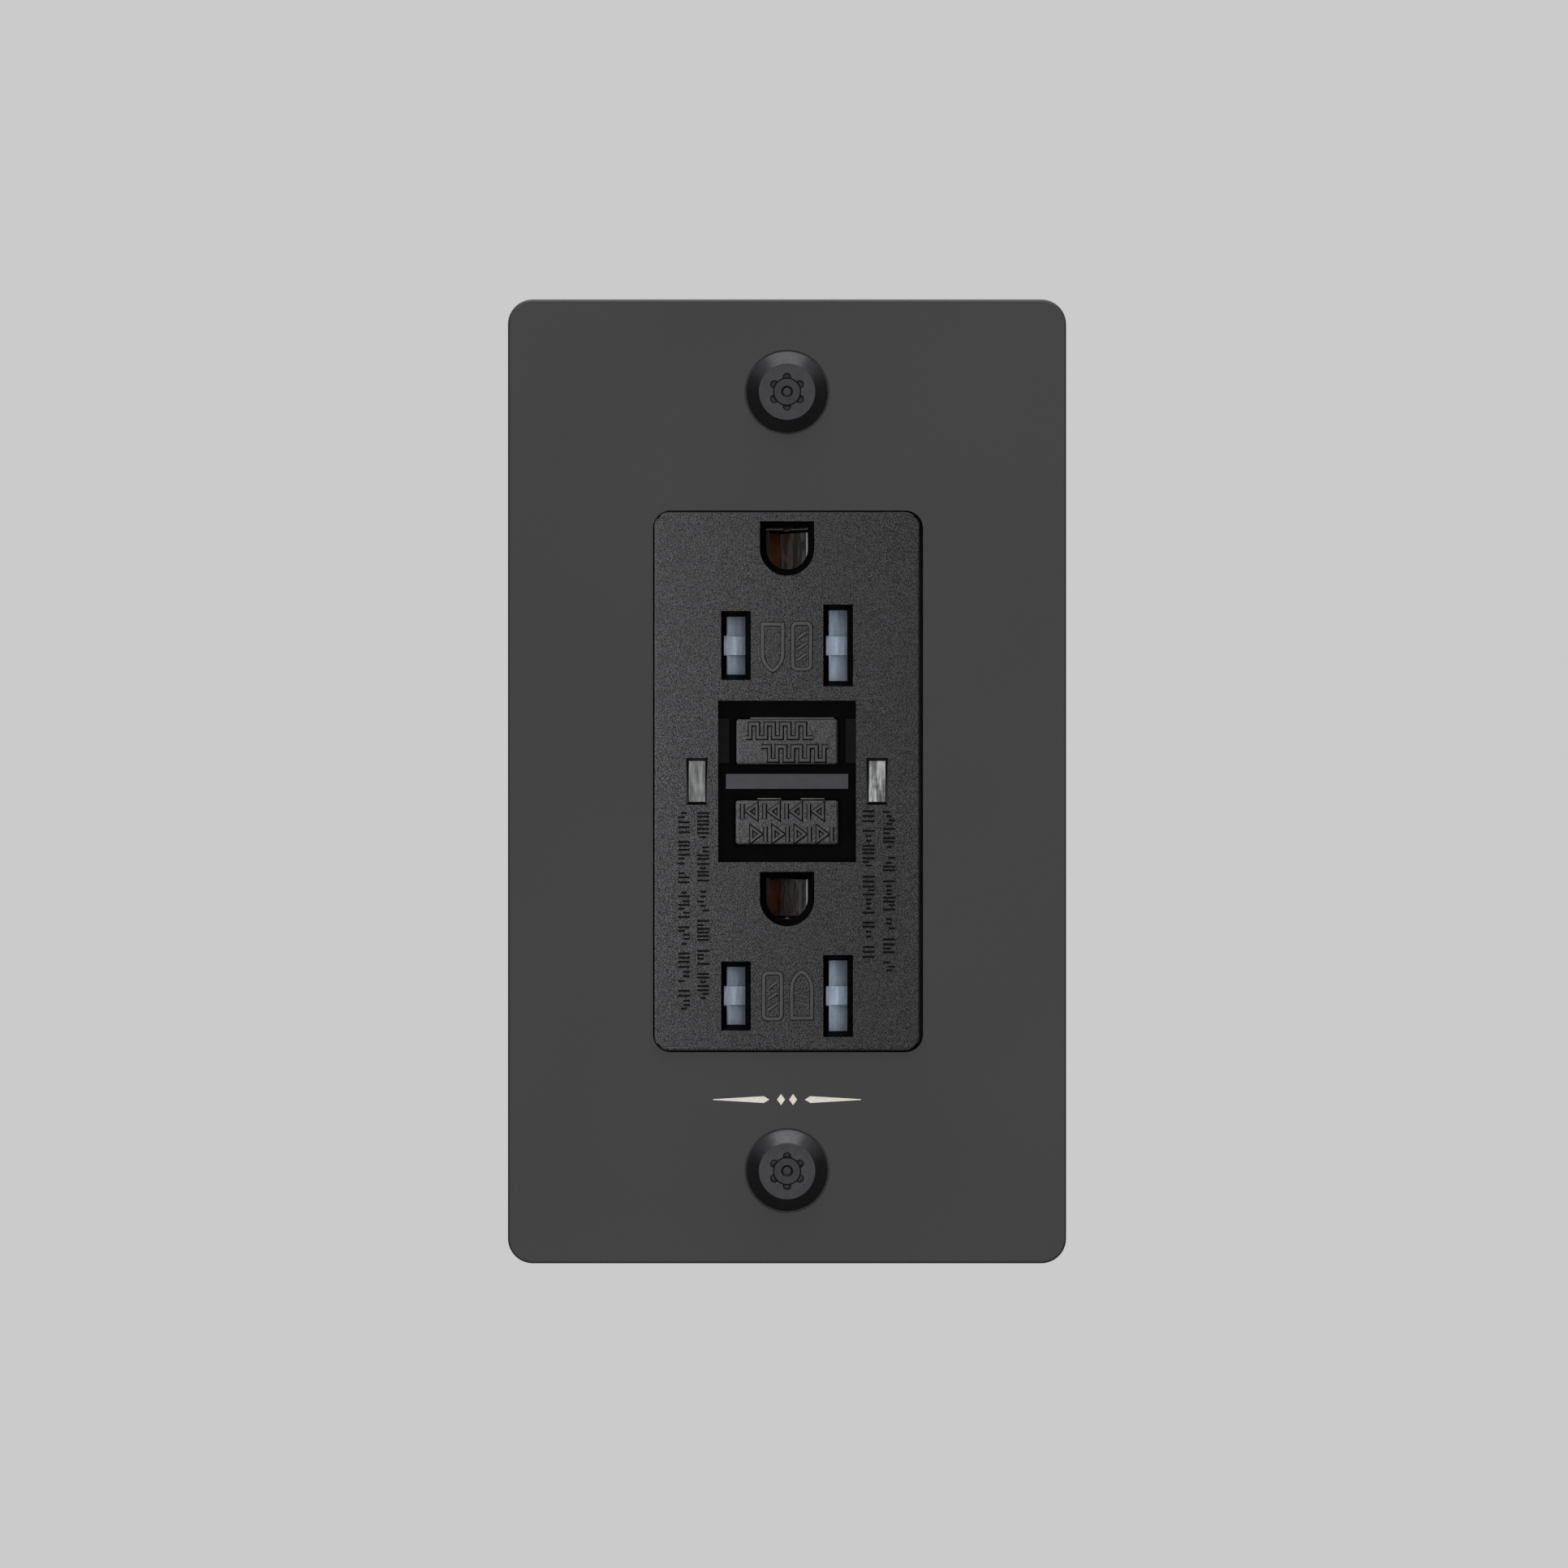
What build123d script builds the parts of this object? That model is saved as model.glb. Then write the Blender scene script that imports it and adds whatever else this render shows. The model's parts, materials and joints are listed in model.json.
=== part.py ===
from build123d import *
import os

os.makedirs("parts", exist_ok=True)

# A ground-fault duplex outlet with its wall plate, in millimetres.
# +X is to the right and +Z is up as seen from the room, +Y points into the wall.
# The origin is the centre of the wall plate's back rim, on the wall.

# wall plate
PLATE_W = 69.5
PLATE_H = 120.0
PLATE_R = 3.1
PLATE_FRONT = -6.0
PLATE_SKIN = 2.2
PLATE_RIM = 1.8
OPENING_W = 33.6
OPENING_H = 67.4
OPENING_R = 2.2
OPENING_SHIFT = 0.12
PLATE_SCREW_Z = 48.42
SEAT_R = 5.3
SEAT_DEPTH = 0.4

# outlet face
FACE_W = 33.0
FACE_H = 67.0
FACE_R = 1.8
FACE_FRONT = -6.6
FACE_SKIN = 2.0
BODY_W = 42.4
BODY_H = 70.4
BODY_R = 2.0
COVER_BACK = 3.4

# blade openings: hot (short) on the left, neutral (long) on the right, ground above
OUTLET_Z = [16.9, -26.7]
BLADE_X = 6.35
SLOT_W = 2.3
HOT_SLOT_H = 7.2
NEUTRAL_SLOT_H = 8.8
SLOT_LEAD = 0.7
GROUND_RISE = 12.05
GROUND_R = 2.585
GROUND_TOP = 2.6
GROUND_LEAD = 0.8

# buttons and indicator windows
WELL_W = 17.15
WELL_H = 20.1
WELL_FLOOR = -3.6
BUTTON_FRONT = -6.3
TEST_SIZE = (12.6, 5.6)
RESET_SIZE = (12.75, 5.45)
TEST_Z = 4.93
RESET_Z = -5.1
LENS_W = 2.04
LENS_H = 5.07
LENS_X = 11.2

# strap
STRAP_T = 1.2
STRAP_Y = 3.4
EAR_Z = 53.2
JOGGLE_Z = 36.9
BOX_SCREW_Z = 41.67
SCREW_R = 1.75

# body
HOUSING_BACK = 27.5
HOUSING_WALL = 1.7
BLOCK_FRONT = 4.8
BLOCK_BACK = 12.4
BOARD_Y = 22.6
BOARD_T = 1.6
BODY_SCREW_X = 17.5
BODY_SCREW_Z = 32.0
TERMINAL_Z = 21.0
TERMINAL_Y = 14.0
WIRE_X = 15.6
LATCH_TRAVEL = 1.0
SHUTTER_TRAVEL = 3.0
ARM_X = 7.5
ARM_PIVOT_Y = 15.15
ARM_PIVOT_Z = 8.0
CONTACT_Z = -8.0
COIL_Y = 17.4
COIL_END = -30.6
COIL_TOP = -18.2
CORE_FRONT = 14.5

# moulded details on the back of the rear housing
WIRE_STEP = 3.3
WIRE_PAD_W = 7.0
WIRE_PAD_H = 12.8
PAD_DEPTH = 0.4
RING_R = 2.45
LABEL_W = 20.0
LABEL_H = 42.0
GAUGE_Z = -26.5
GAUGE_L = 16.0
SEAM_Y = 23.0


def at_depth(y):
    return Plane(origin=(0, y, 0), x_dir=(1, 0, 0), z_dir=(0, -1, 0))


def prism(sketch, y0, y1):
    """A front-view outline carried from depth y0 to depth y1."""
    return extrude(at_depth(y1) * sketch, amount=y1 - y0)


def block(x0, x1, y0, y1, z0, z1):
    centre = ((x0 + x1) / 2, (y0 + y1) / 2, (z0 + z1) / 2)
    return Pos(*centre) * Box(x1 - x0, y1 - y0, z1 - z0)


def rod_x(x0, x1, y, z, r):
    return extrude(Plane(origin=(x0, y, z), z_dir=(1, 0, 0)) * Circle(r), amount=x1 - x0)


def rod_y(x, y0, y1, z, r):
    return extrude(Plane(origin=(x, y0, z), z_dir=(0, 1, 0)) * Circle(r), amount=y1 - y0)


def rod_z(x, y, z0, z1, r):
    return extrude(Plane(origin=(x, y, z0), z_dir=(0, 0, 1)) * Circle(r), amount=z1 - z0)


def cone_y(x, y0, y1, z, r0, r1):
    lower = Plane(origin=(x, y0, z), z_dir=(0, 1, 0)) * Circle(r0)
    upper = Plane(origin=(x, y1, z), z_dir=(0, 1, 0)) * Circle(r1)
    return loft([lower, upper])


def panel(w, h, r, y0, y1, x=0, z=0):
    return prism(Pos(x, z) * RectangleRounded(w, h, r), y0, y1)


def side_profile(points, x0, x1):
    """A profile of (y, z) points carried from x0 to x1."""
    plane = Plane(origin=(x0, 0, 0), x_dir=(0, 1, 0), z_dir=(1, 0, 0))
    return extrude(plane * make_face(Polyline(points, close=True)), amount=x1 - x0)


def top_profile(points, z0, z1):
    """A profile of (x, y) points carried from z0 to z1."""
    plane = Plane(origin=(0, 0, z0), x_dir=(1, 0, 0), z_dir=(0, 0, 1))
    return extrude(plane * make_face(Polyline(points, close=True)), amount=z1 - z0)


def both_sides(shape):
    return shape + mirror(shape, about=Plane.YZ)


def edges_at(shape, y, tol=0.01):
    return [e for e in shape.edges() if abs(e.bounding_box().min.Y - y) < tol
            and abs(e.bounding_box().max.Y - y) < tol]


def coil_spring(x, y, z, length, coil_r, wire_r, turns, direction):
    """An open coil spring starting at (x, y, z) and running along direction."""
    helix = Helix(pitch=(length - 2 * wire_r) / turns, height=length - 2 * wire_r, radius=coil_r)
    start = Plane(origin=helix @ 0, z_dir=helix % 0)
    spring = sweep(start * Circle(wire_r), path=helix)
    plane = Plane(origin=(x, y, z), z_dir=direction)
    return plane.location * (Pos(0, 0, wire_r) * spring)


def save(name, shape):
    shape.label = name
    export_step(shape, "parts/" + name + ".step")


def group(solids):
    return Compound(children=[s if isinstance(s, Solid) else s.solid() for s in solids])


def ground_outline(extra):
    """The ground opening: flat on top, straight sides, a half round below."""
    r = GROUND_R + extra
    top = GROUND_TOP + extra
    return Rectangle(2 * r, top, align=(Align.CENTER, Align.MIN)) + Circle(r)


# ---------------------------------------------------------------- wall plate

def wall_plate():
    shell = panel(PLATE_W, PLATE_H, PLATE_R, PLATE_FRONT, 0)
    shell = fillet(edges_at(shell, PLATE_FRONT), 0.35)
    inner_r = PLATE_R - PLATE_RIM
    shell -= panel(PLATE_W - 2 * PLATE_RIM, PLATE_H - 2 * PLATE_RIM, inner_r, PLATE_FRONT + PLATE_SKIN, 0)
    collar = 1.6
    collar_w, collar_h = OPENING_W + 2 * collar, OPENING_H + 2 * collar
    shell += panel(collar_w, collar_h, OPENING_R + collar, PLATE_FRONT + PLATE_SKIN, -0.5, x=OPENING_SHIFT)
    for z in (-PLATE_SCREW_Z, PLATE_SCREW_Z):
        shell += rod_y(0, PLATE_FRONT + PLATE_SKIN, -STRAP_T, z, 3.0)
    for z in (-30, 30, -54, 54):
        width = PLATE_W / 2 - PLATE_RIM
        start = OPENING_W / 2 + 1.6 if abs(z) < 40 else 18.0
        rib = block(start, width, PLATE_FRONT + PLATE_SKIN, PLATE_FRONT + PLATE_SKIN + 1.2, z - 0.6, z + 0.6)
        shell += both_sides(rib)
    shell -= panel(OPENING_W, OPENING_H, OPENING_R, PLATE_FRONT - 1, 1, x=OPENING_SHIFT)
    for z in (-PLATE_SCREW_Z, PLATE_SCREW_Z):
        shell -= rod_y(0, PLATE_FRONT - 1, 0, z, 2.0)
        shell -= rod_y(0, PLATE_FRONT - 1, PLATE_FRONT + SEAT_DEPTH, z, SEAT_R)
    return shell


def plate_screw(z):
    """Low coin-edge head with a six-lobed recess round a centre post."""
    seat = PLATE_FRONT + SEAT_DEPTH
    rim = seat - 0.5
    top = rim - 1.55
    screw = rod_y(0, rim, seat, z, 5.05)
    screw += cone_y(0, rim, top, z, 5.05, 3.5)
    lobes = Circle(1.75)
    for i in range(6):
        angle = 90 + 60 * i
        lobes += Rot(0, 0, angle) * (Pos(1.0, 0) * SlotOverall(2.6, 0.95))
    lobes -= Circle(1.62)
    screw -= prism(Pos(0, z) * lobes, top - 1, top + 0.9)
    screw -= cone_y(0, top - 0.01, top + 0.7, z, 0.75, 0.2)
    screw += rod_y(0, seat, 6.0, z, SCREW_R)
    screw += cone_y(0, 6.0, 6.5, z, SCREW_R, 1.3)
    return screw


# ---------------------------------------------------------------- front cover

def blade_opening(x, z, height):
    lead = SLOT_LEAD
    mouth = at_depth(FACE_FRONT) * Pos(x, z) * Rectangle(SLOT_W + 2 * lead, height + 2 * lead)
    throat = at_depth(FACE_FRONT + 1.0) * Pos(x, z) * Rectangle(SLOT_W, height)
    cut = loft([mouth, throat])
    cut += block(x - SLOT_W / 2, x + SLOT_W / 2, FACE_FRONT + 0.9, -4, z - height / 2, z + height / 2)
    left = x - SLOT_W / 2
    cut += block(left - 0.38, left + 0.1, FACE_FRONT + 0.5, -4, z - 1.22, z + 1.22)
    return cut


def ground_opening(z):
    mouth = at_depth(FACE_FRONT) * Pos(0, z) * ground_outline(GROUND_LEAD)
    throat = at_depth(FACE_FRONT + 1.1) * Pos(0, z) * ground_outline(0)
    cut = loft([mouth.face(), throat.face()])
    return cut + prism(Pos(0, z) * ground_outline(0), FACE_FRONT + 1.0, 0)


def front_cover():
    cover = panel(FACE_W, FACE_H, FACE_R, FACE_FRONT, 0.5)
    cover = fillet(edges_at(cover, FACE_FRONT), 0.3)
    cover += panel(BODY_W, BODY_H, BODY_R, 0.3, COVER_BACK)
    inside = FACE_FRONT + FACE_SKIN
    cover -= panel(29.8, 64.4, 0.8, inside, COVER_BACK + 1)
    # button well with its floor, the ground tubes and the lens guides
    cover += block(-9.7, 9.7, inside, -2.8, -11.15, 11.15)
    for zc in OUTLET_Z:
        z = zc + GROUND_RISE
        cover += block(-4.2, 4.2, inside, -0.6, z - 3.9, min(z + 3.9, 32.5))
        cover -= rod_y(0, COVER_BACK - 0.6, COVER_BACK + 1, z + 3.55, 1.3)
        for x in (-13.7, 13.7):
            for dz in (-4.4, 4.4):
                cover += block(x - 1.3, x + 1.3, inside, -1.5, zc + dz - 0.7, zc + dz + 0.7)
    for x in (-LENS_X, LENS_X):
        cover += block(x - 1.9, x + 1.9, inside, -0.6, -3.5, 3.5)
    # openings
    cover -= block(-WELL_W / 2, WELL_W / 2, FACE_FRONT - 1, WELL_FLOOR, -WELL_H / 2, WELL_H / 2)
    cover -= block(-6.6, 6.6, WELL_FLOOR - 1, 0, TEST_Z - 3.1, TEST_Z + 3.1)
    cover -= block(-6.65, 6.65, WELL_FLOOR - 1, 0, RESET_Z - 3.05, RESET_Z + 3.05)
    cover += block(-7.6, 7.6, -5.9, WELL_FLOOR, -0.92, 0.92)
    cover += block(-8.6, -7.2, -4.8, WELL_FLOOR, 2.3, 7.8)
    cover += block(7.3, 8.6, -5.0, WELL_FLOOR, 2.3, 7.8)
    for zc in OUTLET_Z:
        cover -= blade_opening(-BLADE_X, zc, HOT_SLOT_H)
        cover -= blade_opening(BLADE_X, zc, NEUTRAL_SLOT_H)
        cover -= ground_opening(zc + GROUND_RISE)
    for x in (-LENS_X, LENS_X):
        cover -= block(x - 1.34, x + 1.34, FACE_FRONT - 1, FACE_FRONT + 0.45, -2.92, 2.92)
        cover -= block(x - 1.1, x + 1.1, FACE_FRONT, 1, -2.62, 2.62)
    for x in (-BODY_SCREW_X, BODY_SCREW_X):
        for z in (-BODY_SCREW_Z, BODY_SCREW_Z):
            cover -= rod_y(x, 1.1, COVER_BACK + 1, z, 1.25)
    return cover


# ---------------------------------------------------------------- strap and fixings

def strap_end(side):
    z0, z1 = JOGGLE_Z - STRAP_T, EAR_Z
    leg = block(-9.5, 9.5, -STRAP_T, STRAP_Y + STRAP_T, z0, JOGGLE_Z)
    neck = block(-9.5, 9.5, -STRAP_T, 0, z0, 45)
    ear = prism(Pos(0, (44 + z1) / 2) * RectangleRounded(31, z1 - 44, 3.0), -STRAP_T, 0)
    web = block(-9.5, 9.5, STRAP_Y, STRAP_Y + STRAP_T, 34.0, JOGGLE_Z)
    end = leg + neck + ear + web
    end -= prism(Pos(0, BOX_SCREW_Z) * SlotOverall(6.4, 4.2), -5, 5)
    end -= rod_y(0, -5, 5, PLATE_SCREW_Z, SCREW_R + 0.05)
    for x in (-10.6, 10.6):
        end -= block(x - 0.25, x + 0.25, -0.35, 0.5, 43, 54)
        end -= rod_y(x + (2.2 if x > 0 else -2.2), -5, 5, 48.6, 1.3)
    if side < 0:
        end = mirror(end, about=Plane.XY)
    return end


def mounting_strap():
    y0, y1 = STRAP_Y, STRAP_Y + STRAP_T
    strap = panel(30, 70.0, 1.5, y0, y1)
    strap += strap_end(1)
    strap += strap_end(-1)
    strap -= block(-12.7, 12.7, 0, 6, -3.4, 3.4)
    strap -= block(-9.8, 9.8, 0, 6, -11.0, 22.5)
    strap -= block(-9.0, 9.0, 0, 6, -32.1, -21.3)
    for zc in OUTLET_Z:
        z = zc + GROUND_RISE
        strap -= block(-2.85, 2.85, 0, 6, z - 2.7, z + 2.7)
        for dz in (-3.55, 3.55):
            strap -= rod_y(0, 0, 6, z + dz, 0.62)
        grip = [(2.85, y1), (2.85, y0 + 0.2), (2.4, y0 + 0.2), (-0.9, 9.6), (-0.5, 10.8),
                (-0.1, 10.7), (-0.4, 9.6), (2.8, y1 + 0.3)]
        strap += top_profile(grip, z - 2.3, z + 2.3)
    # tab for the ground screw
    strap += block(8.8, 14.4, y0, 13.0, -34.4, -33.2)
    strap -= rod_z(11.6, 9.4, -36, -32, SCREW_R + 0.05)
    strap += block(8.8, 14.4, y0, y1, -34.4, -32.0)
    return strap


def box_screw(z):
    head = rod_y(0, -2.6, -STRAP_T, z, 3.6)
    head += cone_y(0, -2.6, -3.2, z, 3.6, 2.7)
    head -= block(-4.5, 4.5, -3.4, -2.4, z - 0.5, z + 0.5)
    head -= block(-0.5, 0.5, -3.4, -2.4, z - 2.4, z + 2.4)
    neck = rod_y(0, -STRAP_T, -0.05, z, SCREW_R - 0.15)
    shank = rod_y(0, -0.05, 21.4, z, SCREW_R)
    return head + neck + shank + cone_y(0, 21.4, 22.0, z, SCREW_R, 1.2)


def ground_contact(z):
    """Brass side of the ground grip, riveted behind the strap."""
    back = STRAP_Y + STRAP_T
    plate = block(-2.7, 2.7, back, back + 0.6, z - 4.6, z + 4.4)
    plate -= block(-2.2, 3.0, 0, 8, z - 2.6, z + 2.6)
    for dz in (-3.55, 3.55):
        plate -= rod_y(0, 0, 8, z + dz, 0.62)
    leaf = [(-2.7, back), (-2.15, back), (-0.95, 8.6), (-1.6, 10.8), (-2.1, 10.65), (-1.5, 8.6),
            (-2.7, back + 0.8)]
    return plate + top_profile(leaf, z - 2.3, z + 2.3)


def ground_rivet(z):
    rivet = rod_y(0, STRAP_Y, STRAP_Y + STRAP_T + 0.6, z, 0.62)
    rivet += rod_y(0, STRAP_Y - 0.35, STRAP_Y, z, 1.0)
    return rivet + rod_y(0, STRAP_Y + STRAP_T + 0.6, STRAP_Y + STRAP_T + 0.95, z, 1.0)


def ground_screw():
    head = rod_z(11.6, 9.4, -36.4, -34.4, 3.4)
    head -= block(7, 16, 8.95, 9.85, -37, -35.5)
    head -= block(11.15, 12.05, 7.2, 11.6, -37, -35.5)
    return head + rod_z(11.6, 9.4, -34.4, -29.6, SCREW_R)


# ---------------------------------------------------------------- buttons

def button_cap(size, z, stem_end):
    w, h = size
    cap = panel(w, h, 0.35, BUTTON_FRONT, -2.6, z=z)
    cap = fillet(edges_at(cap, BUTTON_FRONT), 0.35)
    cap += block(-7.2, 7.2, -2.7, -1.9, z - 3.35, z + 3.35)
    return cap + rod_y(0, -2.0, stem_end, z, 1.3)


def test_button():
    return button_cap(TEST_SIZE, TEST_Z, 6.1)


def reset_button():
    cap = button_cap(RESET_SIZE, RESET_Z, -0.6)
    return cap - rod_y(0, -4.4, 0, RESET_Z, 1.05)


def reset_pin():
    pin = rod_y(0, -4.4, 12.4, RESET_Z, 1.05)
    pin += rod_y(0, 12.4, 13.3, RESET_Z, 0.75)
    pin += rod_y(0, 13.3, 14.0, RESET_Z, 1.4)
    return pin + cone_y(0, 14.0, 14.9, RESET_Z, 1.4, 0.5)


def button_spring(z):
    return coil_spring(0, -1.9, z, BLOCK_FRONT + 1.9, 1.95, 0.2, 6, (0, 1, 0))


def test_contact():
    leaf = block(-1.2, 1.2, 7.8, 8.15, 3.2, 10.7)
    leg = block(-1.2, 1.2, 7.8, BOARD_Y, 10.3, 10.7)
    pad = rod_y(0, 7.6, 7.8, TEST_Z, 1.0)
    return leaf + leg + pad


# ---------------------------------------------------------------- shutters

def shutter(zc):
    """One slide that covers both blade openings with a ramp each."""
    plate = block(-8.8, 12.0, -2.2, -1.6, zc - 5.2, zc + 5.2)
    plate += block(-8.8, -8.0, -4.2, -2.2, zc - 5.2, zc + 5.2)
    for x in (-BLADE_X, BLADE_X):
        gap = x + SHUTTER_TRAVEL
        plate -= block(gap - 1.45, gap + 1.45, -5, 0, zc - 4.5, zc + 4.5)
        high, low = x - 1.65, x + 1.54
        ramp = [(high, -1.7), (high, -4.5), (high + 0.6, -4.5), (low, -2.6), (low, -1.7)]
        plate += top_profile(ramp, zc - 4.7, zc + 4.7)
        rib = [(high, -1.7), (high, -4.5), (high + 1.6, -4.5), (low, -3.6), (low, -1.7)]
        plate += top_profile(rib, zc - 1.15, zc + 1.15)
    return plate


def shutter_spring(zc):
    return coil_spring(-14.7, -3.0, zc, 5.9, 1.0, 0.16, 6, (1, 0, 0))


def shutter_base(zc):
    base = block(-14.7, 14.7, -1.5, -0.7, zc - 5.3, zc + 5.3)
    for x in (-BLADE_X, BLADE_X):
        base -= block(x - 1.5, x + 1.5, -2, 0, zc - 4.7, zc + 4.7)
    return base


# ---------------------------------------------------------------- middle and rear housing

def middle_housing():
    body = panel(38.6, 66.6, 1.2, BLOCK_FRONT, BLOCK_BACK)
    guide = block(2.2, 4.6, BLOCK_BACK - 0.5, 15.8, -9.3, -8.8)
    body += both_sides(guide)
    body += block(-4.6, 4.6, BLOCK_BACK - 0.5, 15.8, -1.4, -0.9)
    # channels for the two buses, open towards the strap
    for s in (-1, 1):
        x0, x1 = sorted((s * 3.5, s * 9.3))
        body -= block(x0, x1, BLOCK_FRONT - 1, 10.5, -31.9, 22.2)
        x0, x1 = sorted((s * 9.0, s * 18.0))
        body -= block(x0, x1, BLOCK_FRONT - 1, 10.5, -17.1, -15.3)
        body -= rod_y(s * ARM_X, 9, BLOCK_BACK + 1, CONTACT_Z, 2.1)
        x0, x1 = sorted((s * 11.9, s * 20.0))
        for z in (-TERMINAL_Z, TERMINAL_Z):
            body -= block(x0, x1, 8.6, BLOCK_BACK + 1, z - 5.7, z + 5.7)
        x0, x1 = sorted((s * 14.4, s * 20.0))
        for z0, z1 in ((-34, -28.9), (28.9, 34)):
            body -= block(x0, x1, BLOCK_FRONT - 1, BLOCK_BACK + 1, z0, z1)
        body -= block(s * LENS_X - 1.25, s * LENS_X + 1.25, BLOCK_FRONT - 1, BLOCK_BACK + 1, -2.75, 2.75)
    for zc in OUTLET_Z:
        z = zc + GROUND_RISE
        body -= block(-2.95, 2.95, BLOCK_FRONT - 1, 11.2, z - 4.8, z + 4.55)
        body -= prism(Pos(0, z) * ground_outline(0.1), BLOCK_FRONT - 1, BLOCK_BACK + 1)
        for x in (-BLADE_X, BLADE_X):
            body -= block(x - 1.2, x + 1.2, 10.0, 11.7, zc - 4.6, zc + 4.6)
    # passages for the reset pin, the test stem and the test contact
    body -= rod_y(0, BLOCK_FRONT - 1, BLOCK_BACK + 1, RESET_Z, 1.6)
    body -= rod_y(0, BLOCK_FRONT - 1, 8, TEST_Z, 1.5)
    body -= block(-1.4, 1.4, 7.5, BLOCK_BACK + 1, 3.0, 10.9)
    # pocket behind the ground screw
    body -= block(9.7, 13.6, 7.4, 11.4, -34, -29.2)
    body -= block(8.6, 14.5, BLOCK_FRONT - 1, BLOCK_BACK + 1, -34, -33.0)
    return body


def back_details(shell):
    """Label recess, strip gauge, wire pads with a ring round each wire hole, and a seam groove."""
    back = HOUSING_BACK
    shell -= panel(LABEL_W, LABEL_H, 1.5, back - 0.3, back + 1)
    shell -= panel(GAUGE_L, 2.4, 0.4, back - 0.5, back + 1, z=GAUGE_Z)
    for x in (-GAUGE_L / 4, 0, GAUGE_L / 4):
        shell += block(x - 0.25, x + 0.25, back - 0.6, back, GAUGE_Z - 1.3, GAUGE_Z + 0.2)
    for x in (-WIRE_X, WIRE_X):
        for z in (-TERMINAL_Z, TERMINAL_Z):
            shell -= panel(WIRE_PAD_W, WIRE_PAD_H, 1.0, back - PAD_DEPTH, back + 1, x=x, z=z)
            for dz in (-WIRE_STEP, WIRE_STEP):
                shell += rod_y(x, back - PAD_DEPTH - 0.1, back, z + dz, RING_R)
    groove = panel(BODY_W + 1, BODY_H + 1, BODY_R, SEAM_Y, SEAM_Y + 0.5)
    return shell - (groove - panel(BODY_W - 0.5, BODY_H - 0.5, BODY_R, SEAM_Y, SEAM_Y + 0.5))


def rear_housing():
    shell = panel(BODY_W, BODY_H, BODY_R, COVER_BACK, HOUSING_BACK)
    shell = fillet(edges_at(shell, HOUSING_BACK), 0.8)
    shell = back_details(shell)
    inner_w = BODY_W - 2 * HOUSING_WALL
    inner_h = BODY_H - 2 * HOUSING_WALL
    shell -= panel(inner_w, inner_h, 0.8, 0, HOUSING_BACK - HOUSING_WALL)
    floor = HOUSING_BACK - HOUSING_WALL
    for x in (-BODY_SCREW_X, BODY_SCREW_X):
        for z in (-BODY_SCREW_Z, BODY_SCREW_Z):
            shell += rod_y(x, COVER_BACK, HOUSING_BACK - 0.5, z, 2.8)
    for s in (-1, 1):
        for z in (-TERMINAL_Z, TERMINAL_Z):
            x0, x1 = sorted((s * 11.2, s * 11.9))
            shell += block(x0, x1, 13.5, floor + 0.1, z - 5.6, z + 5.6)
            x0, x1 = sorted((s * 19.0, s * 22.0))
            shell -= block(x0, x1, 8.8, 19.4, z - 5.4, z + 5.4)
            for dz in (-WIRE_STEP, WIRE_STEP):
                shell -= rod_y(s * WIRE_X, 20, HOUSING_BACK + 1, z + dz, 1.25)
                shell -= cone_y(s * WIRE_X, HOUSING_BACK - 0.6, HOUSING_BACK + 0.01, z + dz, 1.25, 1.75)
    shell -= block(-15.2, 15.2, 0, STRAP_Y + STRAP_T, -36, 36)
    shell -= block(7.7, 15.5, 0, 13.4, -36, -33.4)
    for x in (-BODY_SCREW_X, BODY_SCREW_X):
        for z in (-BODY_SCREW_Z, BODY_SCREW_Z):
            shell -= rod_y(x, 0, HOUSING_BACK + 1, z, 1.3)
            shell -= rod_y(x, HOUSING_BACK - 2.2, HOUSING_BACK + 1, z, 2.4)
    return shell


def housing_screw(x, z):
    seat = HOUSING_BACK - 2.2
    screw = rod_y(x, seat, seat + 1.7, z, 2.2)
    screw -= block(x - 1.4, x + 1.4, seat + 0.8, seat + 2, z - 0.3, z + 0.3)
    screw -= block(x - 0.3, x + 0.3, seat + 0.8, seat + 2, z - 1.4, z + 1.4)
    return screw + rod_y(x, 1.2, seat, z, 1.2)


# ---------------------------------------------------------------- current path

def blade_grip(x, z, height):
    """A pair of leaves that pinch one blade."""
    leaf = [(-2.0, 9.7), (-1.5, 9.7), (-0.45, 6.7), (-1.1, 5.1), (-1.55, 5.25), (-0.95, 6.7)]
    left = top_profile([(x + px, py) for px, py in leaf], z - height / 2, z + height / 2)
    right = top_profile([(x - px, py) for px, py in leaf], z - height / 2, z + height / 2)
    return left + right


def bus(s):
    """Bus strip with four grip leaves and a bent tab for the load screw."""
    x0, x1 = sorted((s * 3.7, s * 9.1))
    strip = block(x0, x1, 9.6, 10.4, -30.5, 20.6)
    for zc in OUTLET_Z:
        strip -= block(s * BLADE_X - 1.1, s * BLADE_X + 1.1, 9, 11, zc - 4.0, zc + 3.4)
        strip += blade_grip(s * BLADE_X, zc, 6.4)
    x0, x1 = sorted((s * 9.0, s * 18.2))
    strip += block(x0, x1, 9.6, 10.4, -16.9, -15.6)
    x0, x1 = sorted((s * 17.0, s * 18.2))
    strip += block(x0, x1, 9.6, 18.6, -26.2, -15.6)
    x0, x1 = sorted((s * 16.5, s * 18.7))
    return strip - rod_x(x0, x1, TERMINAL_Y, -TERMINAL_Z, 2.3)


def fixed_contact(s):
    return rod_y(s * ARM_X, 10.4, 12.1, CONTACT_Z, 1.7)


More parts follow.
